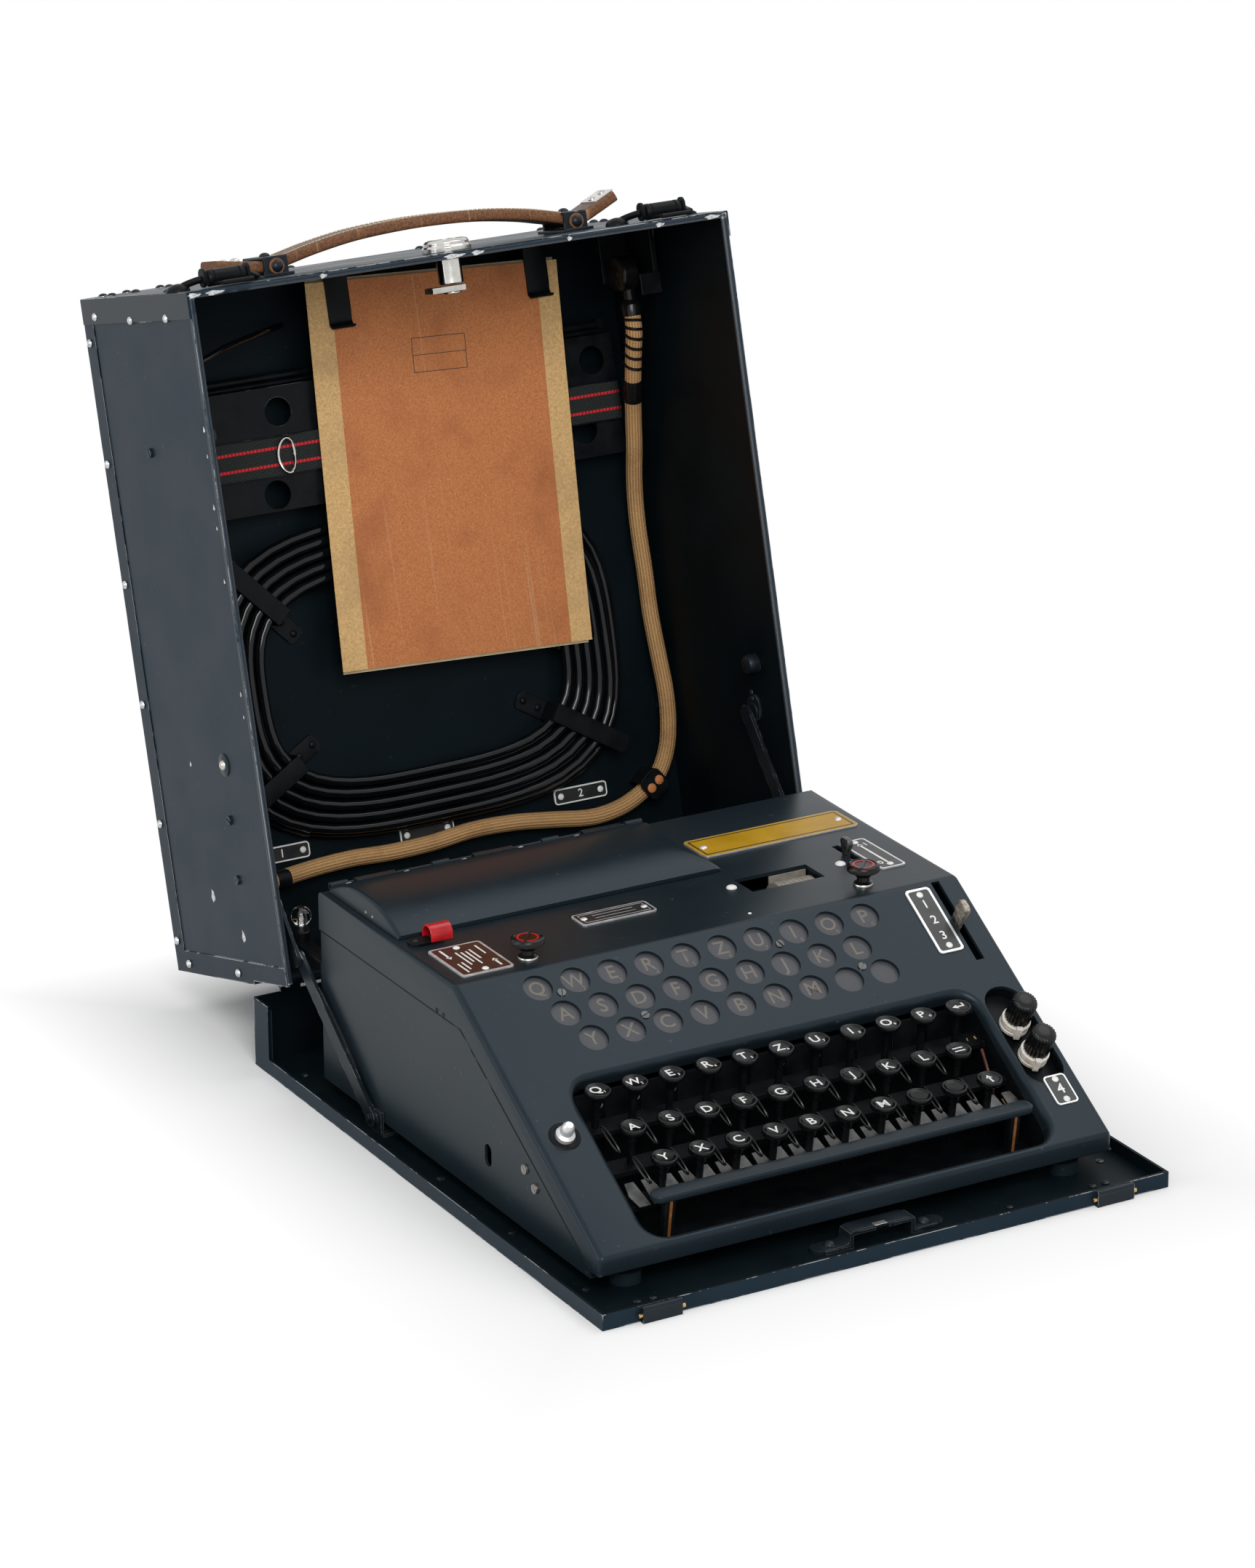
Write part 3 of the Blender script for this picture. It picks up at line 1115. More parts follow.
def rotor_lid():
    lid = make_object("lid_sheet", lid_block(*LID_X, 0.0, LID_FOOT, 0.0, 2.2), [housing_paint])
    cut(lid, lid_block(LID_X[0] + 1.6, LID_X[1] - 6, 1.6, LID_FOOT - 3, 1.6))
    finish_edges(lid, 0.0, 50)
    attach(lid, "rotor_lid")
    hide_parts("rotor_lid")
    length = LID_X[1] - LID_X[0]
    ears = joined([cuboid((x, 132, TOP_Z + 1.1), (x + 24, 136, TOP_Z + 4.1))
                   + rod(2, 24, 24).at(move(x, 136, TOP_Z + 2.1) @ along("X"))
                   for x in (LID_X[0] + share * length for share in (0.084, 0.45, 0.796))])
    rivets = joined([rivet(1.8, 1.1).at(move(x, 128, lid_height(x, 128) - 0.2) @ turn(-24, "X"))
                     for x in (-137, -103, -69, -35, -1)])
    rivets += joined([rivet(1.1, 0.7).at(move(LID_X[0] + 0.3, y, z) @ turn(-90, "Y"))
                      for y, z in ((84.2, 116.6), (91.5, 116.7))])
    piece("lid_ears", ears, "rotor_lid", housing_paint, bevel=0.3)
    piece("lid_rivets", rivets, "rotor_lid", bare_steel)


rotor_lid()


def red_catch():
    """A foot on the pivot, a riser and a half roll for a fingertip, from one bent strip."""
    foot = prism(filleted([(-3.5, -4), (9, -4), (9, 5.4), (-3.5, 5.4)], [3, 1, 0, 3]), 0, 1.2).mat(1)
    centre, r = 2.8, 6.0
    line = [(r, 0.4), (r, 2.0)] + arc(0, centre, r, 0, 180, 14) + [(-r, 0.8)]
    line = [(y - 0.6 * y / r, z) for y, z in line]
    inner = [(y * (r - 1.2) / r, centre + (z - centre) * (r - 1.2) / r if z > centre else z)
             for y, z in line]
    band = loft([[(x, y, z) for y, z in line + inner[::-1]] for x in (6.5, 19)])
    piece("catch_strip", (foot + band).at(move(-141, 46, TOP_Z + 0.9)), "lid_catch",
          [red_enamel, black_metal], bevel=0.35,
          replaces="lid_catch", angle=40)


red_catch()


# ---------- keyboard ----------

def key_shape():
    """A dished round cap, its hub and its stem."""
    r = KEY_R
    cap = [(0, -4.4), (3.2, -4.4), (r - 1.6, -3.6), (r - 0.5, -3.2), (r - 0.1, -2.7), (r, -2.2), (r, -0.7),
           (r - 0.25, -0.15), (r - 0.7, 0), (r - 1.1, -0.12), (r - 1.7, -0.5), (r - 2.3, -0.72),
           (r - 2.7, -0.78),
           (0, -0.8)]
    hub = [(0, -9.5), (1.6, -9.5), (2.4, -9.2), (2.7, -8.2), (2.8, -5), (3.2, -4.2), (0, -4.2)]
    stem = rod(1.9, 22, 16).at(move(0, 0, -31))
    return lathe(cap, 40) + lathe(hub, 24) + stem


def key_mark(name):
    """White mark on a key: its letter, or a plain sign on the three service keys."""
    if len(name) == 1:
        return writing(name.upper(), 8.2, 0.1)
    if name == "return":
        return arrow(7, 1).at(turn(180, "Z")) + rule(0.9, 3.3, 1.4, 3)
    if name == "line":
        return rule(6, 0, 1.4, 0.9) + rule(6, 0, -1.4, 0.9)
    if name == "letters":
        return arrow(7, 1).at(turn(90, "Z"))
    return Shape()


def keys():
    blank = key_shape()
    for row, names in enumerate(ROWS):
        for i, name in enumerate(names):
            spot = at_key(ROW_X[row] + i * KEY_PITCH, ROW_S[row])
            mark = key_mark(name)
            if row == 0 and len(name) == 1:
                mark = mark.at(move(-0.8, 0.5)) + writing(str((i + 1) % 10), 2.6, 0.1).at(move(2.9, -2.2))
            mark = mark.at(move(0, 0, -0.74)).mat(1)
            piece("cap_" + name, (blank + mark).at(spot), "key_" + name, [key_black, white_enamel],
                  replaces="key_" + name, angle=40)


keys()


def hairpin(x, s):
    """Upright oval loop of flat wire beside a key."""
    route = [(0, 8.2 * math.cos(a) - 1.5 * math.sin(a), 2.0 * math.sin(a))
             for a in (math.tau * k / 22 for k in range(22))]
    return tube(route, 0.62, 8, closed=True).at(at_key(x, s) @ move(0, 0, -8) @ turn(28, "X")
                                                @ turn(8, "Z"))


def keyboard_frame():
    loops, strips = [], []
    for row in (1, 2):
        for i in range(10):
            loops.append(hairpin(ROW_X[row] + (i - 0.52) * KEY_PITCH, ROW_S[row] - 2.5))
    for row in range(3):
        strip = cuboid((-119, -6, -25), (119, 6, -22)).at(at_key(0, ROW_S[row]))
        strips.append(strip)
    piece("key_wires", joined(loops), "base", knob_black)
    cheeks = joined([loft([[(x, y, z)
                            for y, z in ((-60, 9.5), (-60, 76), (-70, 72), (-140, 26), (-146, 20),
                                         (-146, 9.5))]
                           for x in pair]) for pair in ((-120, -118.5), (118.5, 120))])
    comb = joined([cuboid((ROW_X[0] + (i - 0.5) * KEY_PITCH + 2.4, -68, 9.5),
                          (ROW_X[0] + (i + 0.5) * KEY_PITCH - 2.4, -66.4, 66))
                   for i in range(11)])
    comb += cuboid((-118.5, -66.4, 9.5), (118.5, -65.4, 62))
    base = cuboid((-118.5, -146, 9.5), (118.5, -60, 11))
    piece("key_strips", joined(strips) + cheeks + comb + base, "base", black_metal, bevel=0.25,
          replaces="key_frame")
    screws = joined([rivet(1.5, 0.9).at(move(ROW_X[0] + (i + 0.5) * KEY_PITCH, -68, 58) @ turn(90, "X"))
                     for i in (0, 1, 2, 5, 6, 9)])
    piece("comb_screws", screws, "base", bright_paint)
    tongues = []
    for i in range(11):
        x = ROW_X[2] + (i - 0.5) * KEY_PITCH
        for side in (-1, 1):
            shape = [(0, -8), (6.6, -8), (8.4, 0), (6.4, 9), (1.2, 9)]
            shape = [(side * a, b) for a, b in shape]
            tongues.append(prism(shape, 0, 0.8).at(at_key(x, ROW_S[2] + 2) @ move(side * 0.9, 0, -18)
                                                   @ turn(14, "X")))
    piece("steel_tongues", joined(tongues), "base", dark_steel, bevel=0.15)
    bar = loft([[(x, y, z) for y, z in round_rect(9, 4.2, 1.1, 4)] for x in (-106.8, 106.8)])
    ends = []
    for s in (-1, 1):
        rings = []
        for a in range(0, 100, 15):
            c, f = math.cos(math.radians(a)), math.sin(math.radians(a))
            rings.append([(s * (106.8 + 4.4 * f), y * max(c, 0.05), z * (0.45 + 0.55 * c))
                          for y, z in round_rect(9, 4.2, 1.1, 4)])
        ends.append(loft(rings))
    piece("palm_bar", (bar + joined(ends)).at(at_key(0, 150)), "base", housing_paint,
          angle=45)
    posts = joined([cuboid((s * 101 - 3, -2, -29.5), (s * 101 + 3, 2, -1.5)).at(at_key(0, 150))
                    for s in (-1, 1)])
    piece("bar_posts", posts, "base", black_metal, bevel=0.3)
    copper = joined([cuboid((s * 101 - 0.8, -2.5, -29), (s * 101 + 0.8, -2.05, -2.2)).at(at_key(0, 150))
                     for s in (-1, 1)])
    piece("copper_strips", copper, "base", copper_strip, bevel=0.1)
    wires = []
    for s in (92, 118, 132):
        arc_line = [(114 + 2.5 * math.cos(a), 4.5 * math.sin(a), 0)
                    for a in (math.radians(t) for t in range(-200, 30, 16))]
        wires.append(tube(arc_line, 0.55, 8).at(on_slope(0, s, -14)))
    piece("contact_springs", joined(wires), "base", brass)
    lead = tube(smooth_route([(112, -4, -30), (114, 2, -20), (113, 10, -14), (115, 22, -12)]), 0.9,
                8).at(on_slope(0, 122, 0))
    piece("red_lead", lead, "base", red_wire)


keyboard_frame()


# ---------- base fittings ----------

def tray_details():
    """Brass pivots in the front lugs, and the riveted angle in the tray's rear corners."""
    pins = joined([rod(1.1, 26, 12).at(move(x - 13, -189.6, 4) @ along("X")) for x in (-133, 131)])
    piece("lug_pins", pins, "base", brass, bevel=0.2)
    angles, rivets = [], []
    for s in (-1, 1):
        x = s * 163.5
        inner = x - s * 0.3
        angles.append(cuboid((min(x, inner), 170, 8.6), (max(x, inner), 187, 37)))
        rivets += [rivet(2, 0.6).at(move(inner, y, z) @ turn(-s * 90, "Y"))
                   for y, z in ((177, 14), (177, 31))]
    piece("corner_angles", joined(angles), "base", fitting_paint, bevel=0.3)
    piece("corner_rivets", joined(rivets), "base", bright_paint)


tray_details()


def keeper():
    """The bent strap on the tray's front rim, with its two dome rivets and a rubbed notch."""
    x, y, low, top = 4, -166, 2.4, 9.6
    line = [(-33, low), (-22, low), (-19.4, low + 0.6), (-18.2, low + 2), (-17.8, top - 2),
            (-17, top - 0.5),
            (-15.4, top), (15.4, top), (17, top - 0.5), (17.8, top - 2), (18.2, low + 2),
            (19.4, low + 0.6), (22, low),
            (33, low)]
    band = strap([(x + a, y, z) for a, z in line], 10.6, 2.1)
    for s in (-1, 1):
        band += prism(arc(0, 0, 5.3, -90, 90, 12), -1.05, 1.05).at(move(x + s * 33, y, low)
                                                                   @ turn(0 if s > 0 else 180, "Z"))
    domes = joined([rivet(3.4, 2.4).at(move(x + s * 27.5, y, low + 1)) for s in (-1, 1)])
    notch = cuboid((x - 4, y - 5.5, top + 0.9), (x + 3, y - 2, top + 1.2)).mat(1)
    piece("keeper_strap", band + domes + notch, "base", [fitting_paint, nickel], bevel=0.2,
          angle=50)


keeper()


# ---------- cover ----------

def cover_edges():
    """Rolled bead along the mouth of the cover."""
    y = -COVER_SKIRT
    bead = []
    for s in (-1, 1):
        bead.append(loft([[(s * (COVER_X - 1.9) + a, y + 1.4 + b, u)
                           for a, b in round_rect(3.6, 3.2, 1.3, 4)]
                          for u in (4, COVER_L - 1.5)]))
    bead.append(loft([[(x, y + 1.4 + a, COVER_L - 1.9 + b) for a, b in round_rect(3.2, 3.6, 1.3, 4)]
                      for x in (-COVER_X + 1, COVER_X - 1)]))
    piece("mouth_bead", joined(bead).at(in_cover()), "cover", chipped_edge, angle=50)


cover_edges()


def cover_rivets():
    """Rivets and screws of the cover's overlapping sheets. Places are (along, from the back) on the sides."""
    side = [(361, 17), (358, 63), (358, 109), (281, 5), (347, 5), (215, 5), (149, 5), (83, 5), (18, 5),
            (6, 17), (6, 81)]
    heads = []
    for s in (-1, 1):
        for u, v in side:
            heads.append(rivet(2.3, 1.5).at(in_cover(s * (COVER_X + 0.4), COVER_RISE - v, u)
                                            @ turn(s * 90, "Y")))
    piece("side_rivets", joined(heads), "cover", bright_paint)
    screws = [slotted_screw(2.6, 1.3, 0.8, a).at(in_cover(-COVER_X + 0.5, COVER_RISE - v, u)
                                                 @ turn(-90, "Y"))
              for u, v, a in ((287, 63, 15), (90, 97, 60), (57.5, 96, 100))]
    piece("side_screws_cover", joined(screws), "cover", housing_paint, bevel=0.12)
    boss = lathe([(0, 0), (6.2, 0), (6.2, 0.5), (5.4, 0.9), (0, 0.9)],
                 32) + rivet(2.8, 2.2).at(move(0, 0, 0.6)).mat(1)
    piece("side_boss", boss.at(in_cover(-COVER_X + 0.5, 2.5, 120) @ turn(-90, "Y")), "cover",
          [housing_paint, nickel])
    top = [(x, b) for x in (-152, -138, -118, -60, 60, 118, 138, 152) for b in (84, 96)]
    top += [(-152, 10), (152, 10), (-40, 94), (40, 94)]
    caps = [rivet(2.6, 1.6).at(in_cover(x, b, COVER_L)) for x, b in top]
    piece("top_rivets", joined(caps), "cover", fitting_paint)
    band, proud = 14, 0.6
    strips = []
    for s in (-1, 1):
        x0, x1 = sorted((s * (COVER_X - 0.5), s * (COVER_X + proud)))
        strips.append(cuboid((x0, -COVER_SKIRT + 0.3, COVER_L - band),
                             (x1, COVER_RISE - 0.3, COVER_L - 0.3)))
    piece("corner_strips", joined(strips).at(in_cover()), "cover", housing_paint, bevel=0.3)


cover_rivets()


def flake(length, width):
    """A spot of bare metal with an uneven outline."""
    line = []
    for a in (math.tau * k / 20 for k in range(20)):
        line.append((length / 2 * math.cos(a) * (1 + 0.2 * math.sin(5 * a)),
                     width / 2 * math.sin(a) * (1 + 0.3 * math.cos(3 * a))))
    return prism(line, 0, 0.1)


def bare_spots():
    """Where the paint is knocked off: along the top of the mouth and down the cover's left side."""
    spots = []
    for x, size in ((-159, 7), (-147, 10), (-6, 12), (8, 7), (120, 5), (153, 9), (-84, 4), (64, 3)):
        spots.append(flake(size, 2.2).at(in_cover(x, -COVER_SKIRT - 0.15, COVER_L - 2.2) @ turn(90, "X")))
    side = ((-33, 299, 3), (-32.5, 285, 2), (-31.5, 258, 3), (-31.5, 247, 2), (-31.3, 219, 2.4),
            (-31.4, 159, 2.4),
            (-31, 147, 1.8), (42, 46.6, 6.5), (9.6, 26.6, 6), (46.6, 118.4, 2.6))
    for b, u, size in side:
        spots.append(flake(size, size * 0.6).at(in_cover(-COVER_X + 0.5, b, u) @ turn(-90, "Y")))
    piece("bare_spots", joined(spots), "cover", bright_paint)


bare_spots()


def latches():
    for name, x in (("left", -132), ("right", 132)):
        spot = in_cover(x, -20, COVER_L + 5)
        half = [(4.4, 0), (4.4, 7.0), (3.9, 7.2), (3.9, 7.7), (4.5, 7.9), (4.5, 9.9), (3.9, 10.7),
                (1.6, 10.7)]
        roller = lathe([(r, -h) for r, h in half[:0:-1]] + half, 36)
        tongue = cuboid((-9, -15.2, -3.6), (9, -1, -2.2)) + rod(1.2, 18, 16).at(move(-9, -16, -2.9)
                                                                                @ along("X"))
        piece("latch_roller_" + name, (roller.at(along("X")) + tongue).at(spot), "latch_" + name,
              [black_metal],
              bevel=0.15, replaces="latch_" + name, angle=40)
        ears = []
        for e in (-1, 1):
            ear = prism(stadium(-3.6, 6.5, 3.6), -0.8, 0.8).at(turn(90, "Y") @ turn(90, "Z"))
            ears.append(ear.at(move(e * 12.7, 0, -1)))
            line = [(e * 12.7, 0, 0), (e * 15, 3, -0.5), (e * 19, 7, -1.8), (e * 23, 9, -3.4)]
            ears.append(tube(smooth_route(line, 4), 1.9, 12))
            r, h = (6.6, 4.2) if e < 0 else (3.0, 2.0)
            ears.append(rivet(r, h).at(move(e * 23.5, 9, -5)))
        piece("latch_frame_" + name, joined(ears).at(spot), "cover", black_metal, bevel=0.2,
              angle=40)


latches()


def lock():
    """Chrome bezel with a notched face, its barrel, and the cross bolt on its inner end."""
    spot = in_cover(3, -12, COVER_L)
    bezel = lathe([(0, 0.1), (13.4, 0.1), (13.4, 2.4), (12.4, 3.4), (12.4, 5.0), (11.2, 6.2), (9.4, 6.6),
                   (9.4, 5.0),
                   (0, 5.0)], 48)
    notch = cuboid((-9, -1.2, 4.9), (9, 1.2, 6.2)).at(turn(30, "Z"))
    barrel = lathe([(0, -17.6), (6.2, -17.6), (6.8, -17.0), (6.8, 0.1), (0, 0.1)], 40)
    piece("lock_barrel", (bezel + notch + barrel).at(spot), "cover", chrome, bevel=0.15,
          angle=40)
    bolt = cuboid((-14, -5, -21.6), (6, 5, -18.4)) + rod(5, 1.2, 32, 0.3).at(move(0, 0, -22.8))
    piece("lock_bar", bolt.at(spot), "lock_bolt", nickel, bevel=0.4, replaces="lock_bolt")


lock()


def carry_handle():
    """A stitched leather strap held down by two bridges, with riveted metal tips."""
    line = [(-124, 9.4), (-112, 7.6), (-100, 6.0), (-90, 6.0), (-80, 8.2), (-64, 11.6), (-40, 15.2),
            (-12, 16.9),
            (12, 16.9), (40, 15.4), (64, 12.2), (80, 8.8), (90, 6.6), (98, 6.6), (107, 10.2), (119, 15.6)]
    width, thick = 21, 6.2
    route = smooth_route([(x, 0, z) for x, z in line], 5)
    here = in_cover(0, 16, COVER_L)
    band = strap(route, width, thick)
    for i, face in enumerate(band.faces):
        edge = sum(abs(band.points[k].y) for k in face) / len(face)
        band.slots[i] = int(edge > width / 2 - 1.1 or len(face) > 4)
    piece("handle_strap", band.at(here), "cover", [leather, leather_edge], replaces="carry_handle",
          angle=50)
    stitches = []
    inner = [p for p in route if abs(p.x) < 86]
    for p, q in zip(inner, inner[1:]):
        up = Vector((p.z - q.z, 0, q.x - p.x)).normalized() * (thick / 2)
        for side in (-8, 8):
            for a, c in ((0.08, 0.42), (0.58, 0.92)):
                stitches.append(tube([p.lerp(q, t) + up + Vector((0, side, 0)) for t in (a, c)], 0.5, 6))
    piece("handle_stitches", joined(stitches).at(here), "cover", thread)
    metal, rings, heads = [], [], []
    for s in (-1, 1):
        x = s * 91
        metal.append(cuboid((x - 9, -16, 0), (x + 9, 16, 1.5)))
        metal.append(cuboid((x - 7, -13, 9.3), (x + 7, 13, 10.8)))
        for e in (-1, 1):
            metal.append(cuboid((x - 7, e * 12.4 - 0.9, 0), (x + 7, e * 12.4 + 0.9, 10.4)))
        rings.append(rod(4.4, 1.2, 24, 0.3).at(move(x, -13.2, 5.2) @ turn(90, "X")))
        metal.append(rivet(3.3, 2.0).at(move(x, -14.4, 5.2) @ turn(90, "X")))
        metal.append(rivet(3.0, 2.0).at(move(x, 0, 10.8)))
    lean = -24
    tip = move(113, 0, 16.0) @ turn(lean, "Y")
    plate = cuboid((-6.5, -8.5, 0), (6.5, 8.5, 0.9)).at(tip)
    for e in (-3.4, 3.4):
        heads.append(rivet(2.9, 1.9).at(move(-112 + e, 0, 10.4) @ turn(8, "Y")))
        heads.append(lathe([(0.8, 0), (2.2, 0), (2.2, 0.5), (1.6, 0.8), (0.8, 0.5), (0.8, 0)],
                           24).at(tip @ move(e, 0, 0.9)))
    piece("handle_bridges", joined(metal).at(here), "cover", fitting_paint, bevel=0.35)
    piece("bridge_rings", joined(rings).at(here), "cover", leather_edge)
    piece("handle_tip", plate.at(here), "cover", chrome, bevel=0.3)
    piece("handle_rivets", joined(heads).at(here), "cover", chrome)


carry_handle()


def parts_box_details():
    """Carrying rods over the spare box, its strap and buckle."""
    rods = rod(2.3, 292, 20).at(stored(-146, 5, 314) @ along("X")) + rod(1.4, 292,
                                                                         16).at(stored(-146, 8.5, 310.5)
                                                                                @ along("X"))
    rods += rod(3.1, 24, 20, 0.4).at(stored(-143, 5, 314) @ along("X"))
    piece("box_rods", rods, "cover", black_metal)
    w = 21.0
    xs = [-147.6 + 295.2 * k / 60 for k in range(61)]
    rings = []
    for x in xs:
        sag = 0.35 * math.sin(x / 9.0)
        rings.append([(x, 101 - 15.75, 271 - w / 2 + sag + w * k / 20) for k in range(21)])
    face = loft(rings, caps=False, closed=False)
    for uv, f in zip(face.uvs, face.faces):
        for c, i in enumerate(f):
            p = face.points[i]
            uv[c] = ((p.z - 271 + w / 2) / w, p.x)
    band = face.at(in_cover())
    strap_piece = piece("box_strap", band, "cover", webbing, angle=60)
    thick = strap_piece.modifiers.new("thick", "SOLIDIFY")
    thick.thickness = 1.3 * MM
    thick.offset = 0
    x0 = -63
    ring = [(x0 + 5 * math.cos(a), 2 * math.sin(a) ** 2, 9.5 * math.sin(a))
            for a in (math.tau * k / 28 for k in range(28))]
    buckle = tube([(x, -d, u) for x, d, u in ring], 0.9, 10, closed=True).at(stored(0, 17.2, 271))
    piece("strap_buckle", buckle, "cover", chrome)


parts_box_details()


def cover_fittings():
    """Clips, clamps, bumpers and plates inside the cover."""
    for name, x in (("left", -20), ("right", 104)):
        line = [(19.2, COVER_L - 1.6), (19.2, 352), (19.2, 344), (18.7, 339), (19.6, 336.6), (21.6, 335.4),
                (23.4, 335.8)]
        route = smooth_route([(x, BACK_IN - d, u) for d, u in line], 4)
        leaf = strap(route, 14, 1.3, (1, 0, 0))
        washer = rod(4.6, 1.2, 24, 0.3).at(move(x + 10, BACK_IN - 19, COVER_L - 3))
        piece("clip_" + name, (leaf + washer).at(in_cover()), "cover", black_metal,
              angle=50)
    holder = cuboid((6, -25, -20), (9, 5, 12)) + cuboid((-11, 3, -20), (9, 5, 12)) + cuboid((-11, -25, 10),
                                                                                            (9, 5, 12))
    holder += cuboid((-4, -27, -28), (9, -25.6, -16))
    piece("plug_bracket", holder.at(stored(147, 40, 357)), "cover", black_metal, bevel=0.5,
          replaces="cover_fittings")
    bumper = [(0, 0), (5.6, 0), (5.6, 4.2), (4.8, 6.0), (3.0, 6.8), (0, 6.8)]
    rubber = lathe(bumper, 32).at(in_cover(COVER_X - SHEET, -6, 120) @ turn(-90, "Y"))
    rubber += lathe(bumper, 32).at(in_cover(SHEET - COVER_X, -27, 295) @ turn(90, "Y"))
    piece("wall_bumpers", rubber, "cover", fitting_paint)
    bail = [(-159.5, 44, 319), (-143, 54, 326), (-125, 58, 330.5), (-104, 50, 336), (-80, 35, 339),
            (-62, 20, 340.5),
            (-50, 6, 341)]
    wires = tube(smooth_route([(x, BACK_IN - d, u) for x, d, u in bail], 5), 1.7, 12)
    piece("stored_bail", wires.at(in_cover()), "cover", cord_black)
    bend = [(107, 3, 228), (112, 4, 231), (118, 4, 227), (119, 4, 219), (115, 4, 212), (108, 3, 207),
            (103, 1.5, 205)]
    loop = tube(smooth_route([(x, BACK_IN - d, u) for x, d, u in bend], 5), 0.6, 8)
    piece("wire_loop", loop.at(in_cover()), "cover", black_metal)
    studs, pins = [], []
    for s in (-1, 1):
        wall = in_cover(s * (COVER_X - SHEET), 0, 0) @ turn(-s * 90, "Y")
        studs.append(prism(stadium(-7, 9, 6.5), 0, 1.4).at(wall @ move(s * 96, 0, 0) @ turn(90, "Z")))
        studs.append(rod(5.2, 2, 28, 0.4).at(in_cover(s * 160, 1.3, 92.9) @ move(-1, 0, 0) @ along("X")))
        pins += [rivet(1.7, 1.0).at(wall @ move(s * u, 0, 1.4)) for u in (100, 103.5)]
    piece("strut_studs", joined(studs), "cover", fitting_paint, bevel=0.25)
    piece("stud_rivets", joined(pins), "cover", fitting_paint)
    for name, x, u, text in (("right", 97, 53, "2"), ("left", -92, 53, "1"), ("middle", -2, 49, "")):
        marks = writing(text, 6.5) if text else None
        tag = label(34, 9, marks, 0.8).at(stored(x, 0, u) @ turn(90, "X"))
        piece("tag_" + name, tag, "cover", [white_enamel, plate_black, white_enamel], bevel=0.1)


cover_fittings()


def coil_corner(a, grow):
    """Centreline of one loop of the stored cord: a rounded rectangle grown outwards."""
    w, h, p = 93 + grow, 56 + grow, 3.2
    c, s = math.cos(a), math.sin(a)
    k = (abs(c) ** p + abs(s) ** p) ** (-1 / p)
    return w * k * c, h * k * s


def coil_clamps():
    """Bent steel fingers over the stored cord, each on a riveted foot inside its loops."""
    reach, width = 15.4, 11
    feet, heads = [], []
    for x, u, tilt, leaf in ((81, 103, -32, 46), (-78, 102, 210, 34), (-77, 183, 133, 42),
                             (80, 183, 47, 42)):
        spot = stored(x, 0, u) @ turn(-tilt, "Y")
        route = smooth_route([(-15.5, -0.8, 0), (-3, -0.8, 0), (-0.7, -1.4, 0), (0, -4, 0),
                              (0, -reach + 3, 0),
                              (0.9, -reach + 1, 0), (3.6, -reach + 0.7, 0), (leaf, -reach + 0.7, 0)], 4)
        feet.append(strap(route, width, 1.4, (0, 0, 1)).at(spot))
        for x0, x1, y in ((-15.5, -19, -0.8), (leaf, leaf + 3.5, -reach + 0.7)):
            end = filleted([(x0, -width / 2), (x0, width / 2), (x1, width / 2), (x1, -width / 2)],
                           [0, 0, 3.3, 3.3])
            feet.append(prism(end, -0.7, 0.7).at(spot @ move(0, y, 0) @ turn(90, "X")))
        heads += [rivet(2.1, 1.3).at(spot @ move(px, -1.5, 0) @ turn(90, "X")) for px in (-15, -5)]
    piece("coil_clamps", joined(feet), "cover", black_metal, angle=50)
    piece("clamp_rivets", joined(heads), "cover", black_metal)


coil_clamps()


def black_cord():
    """The stored cord: five loops outwards in a lower layer and five back in an upper one."""
    loops, step, r = 5, 6.45, 3.0
    rings = 60
    route = []
    for i in range(2 * loops * rings + 1):
        t = i / rings
        grow = step * (2 * loops - t if t > loops else t)
        rise = min(1, max(0, (t - loops) * 2 + 0.5))
        x, u = coil_corner(math.tau * t, grow)
        wave = 0.16 * math.sin(0.42 * i) + 0.14 * math.sin(0.173 * i)
        route.append((2 + x, BACK_IN - r - 1.6 - step * rise + wave, 142 + u + wave * 0.6))
    tail = Vector((-0.25, 0, 1)).normalized() * 6
    route = [Vector(route[0]) + Vector((tail.x, 0, -tail.z))] + route + [Vector(route[-1]) + tail]
    cord = piece("cord_coil", tube(route, 2.9, 12).at(in_cover()), "cover", cord_black,
                 replaces="mains_cord",
                 angle=60)
    caps = piece("cord_caps", (tube(route[:2], 3.1, 16) + tube(route[-2:], 3.1, 16)).at(in_cover()),
                 "cover",
                 black_metal, bevel=0.3)


black_cord()


# Centreline of the braided cable in the cover's frame, in metres: x, depth from the back, u
CABLE_ROUTE = ((0.144, 0.050, 0.322), (0.144, 0.050, 0.310), (0.145, 0.043, 0.294), (0.147, 0.034, 0.276),
               (0.149, 0.026, 0.258), (0.150, 0.021, 0.243), (0.151, 0.015, 0.229), (0.152, 0.010, 0.212),
               (0.152, 0.009, 0.194), (0.153, 0.008, 0.172), (0.153, 0.008, 0.148), (0.154, 0.009, 0.124),
               (0.155, 0.010, 0.102), (0.154, 0.010, 0.084), (0.151, 0.009, 0.069), (0.144, 0.008, 0.056),
               (0.132, 0.007, 0.047), (0.117, 0.007, 0.041), (0.098, 0.007, 0.039), (0.074, 0.007, 0.042),
               (0.048, 0.007, 0.045), (0.022, 0.007, 0.0455), (-0.004, 0.007, 0.043),
               (-0.030, 0.007, 0.0425),
               (-0.054, 0.007, 0.0435), (-0.078, 0.007, 0.0425), (-0.102, 0.007, 0.040))


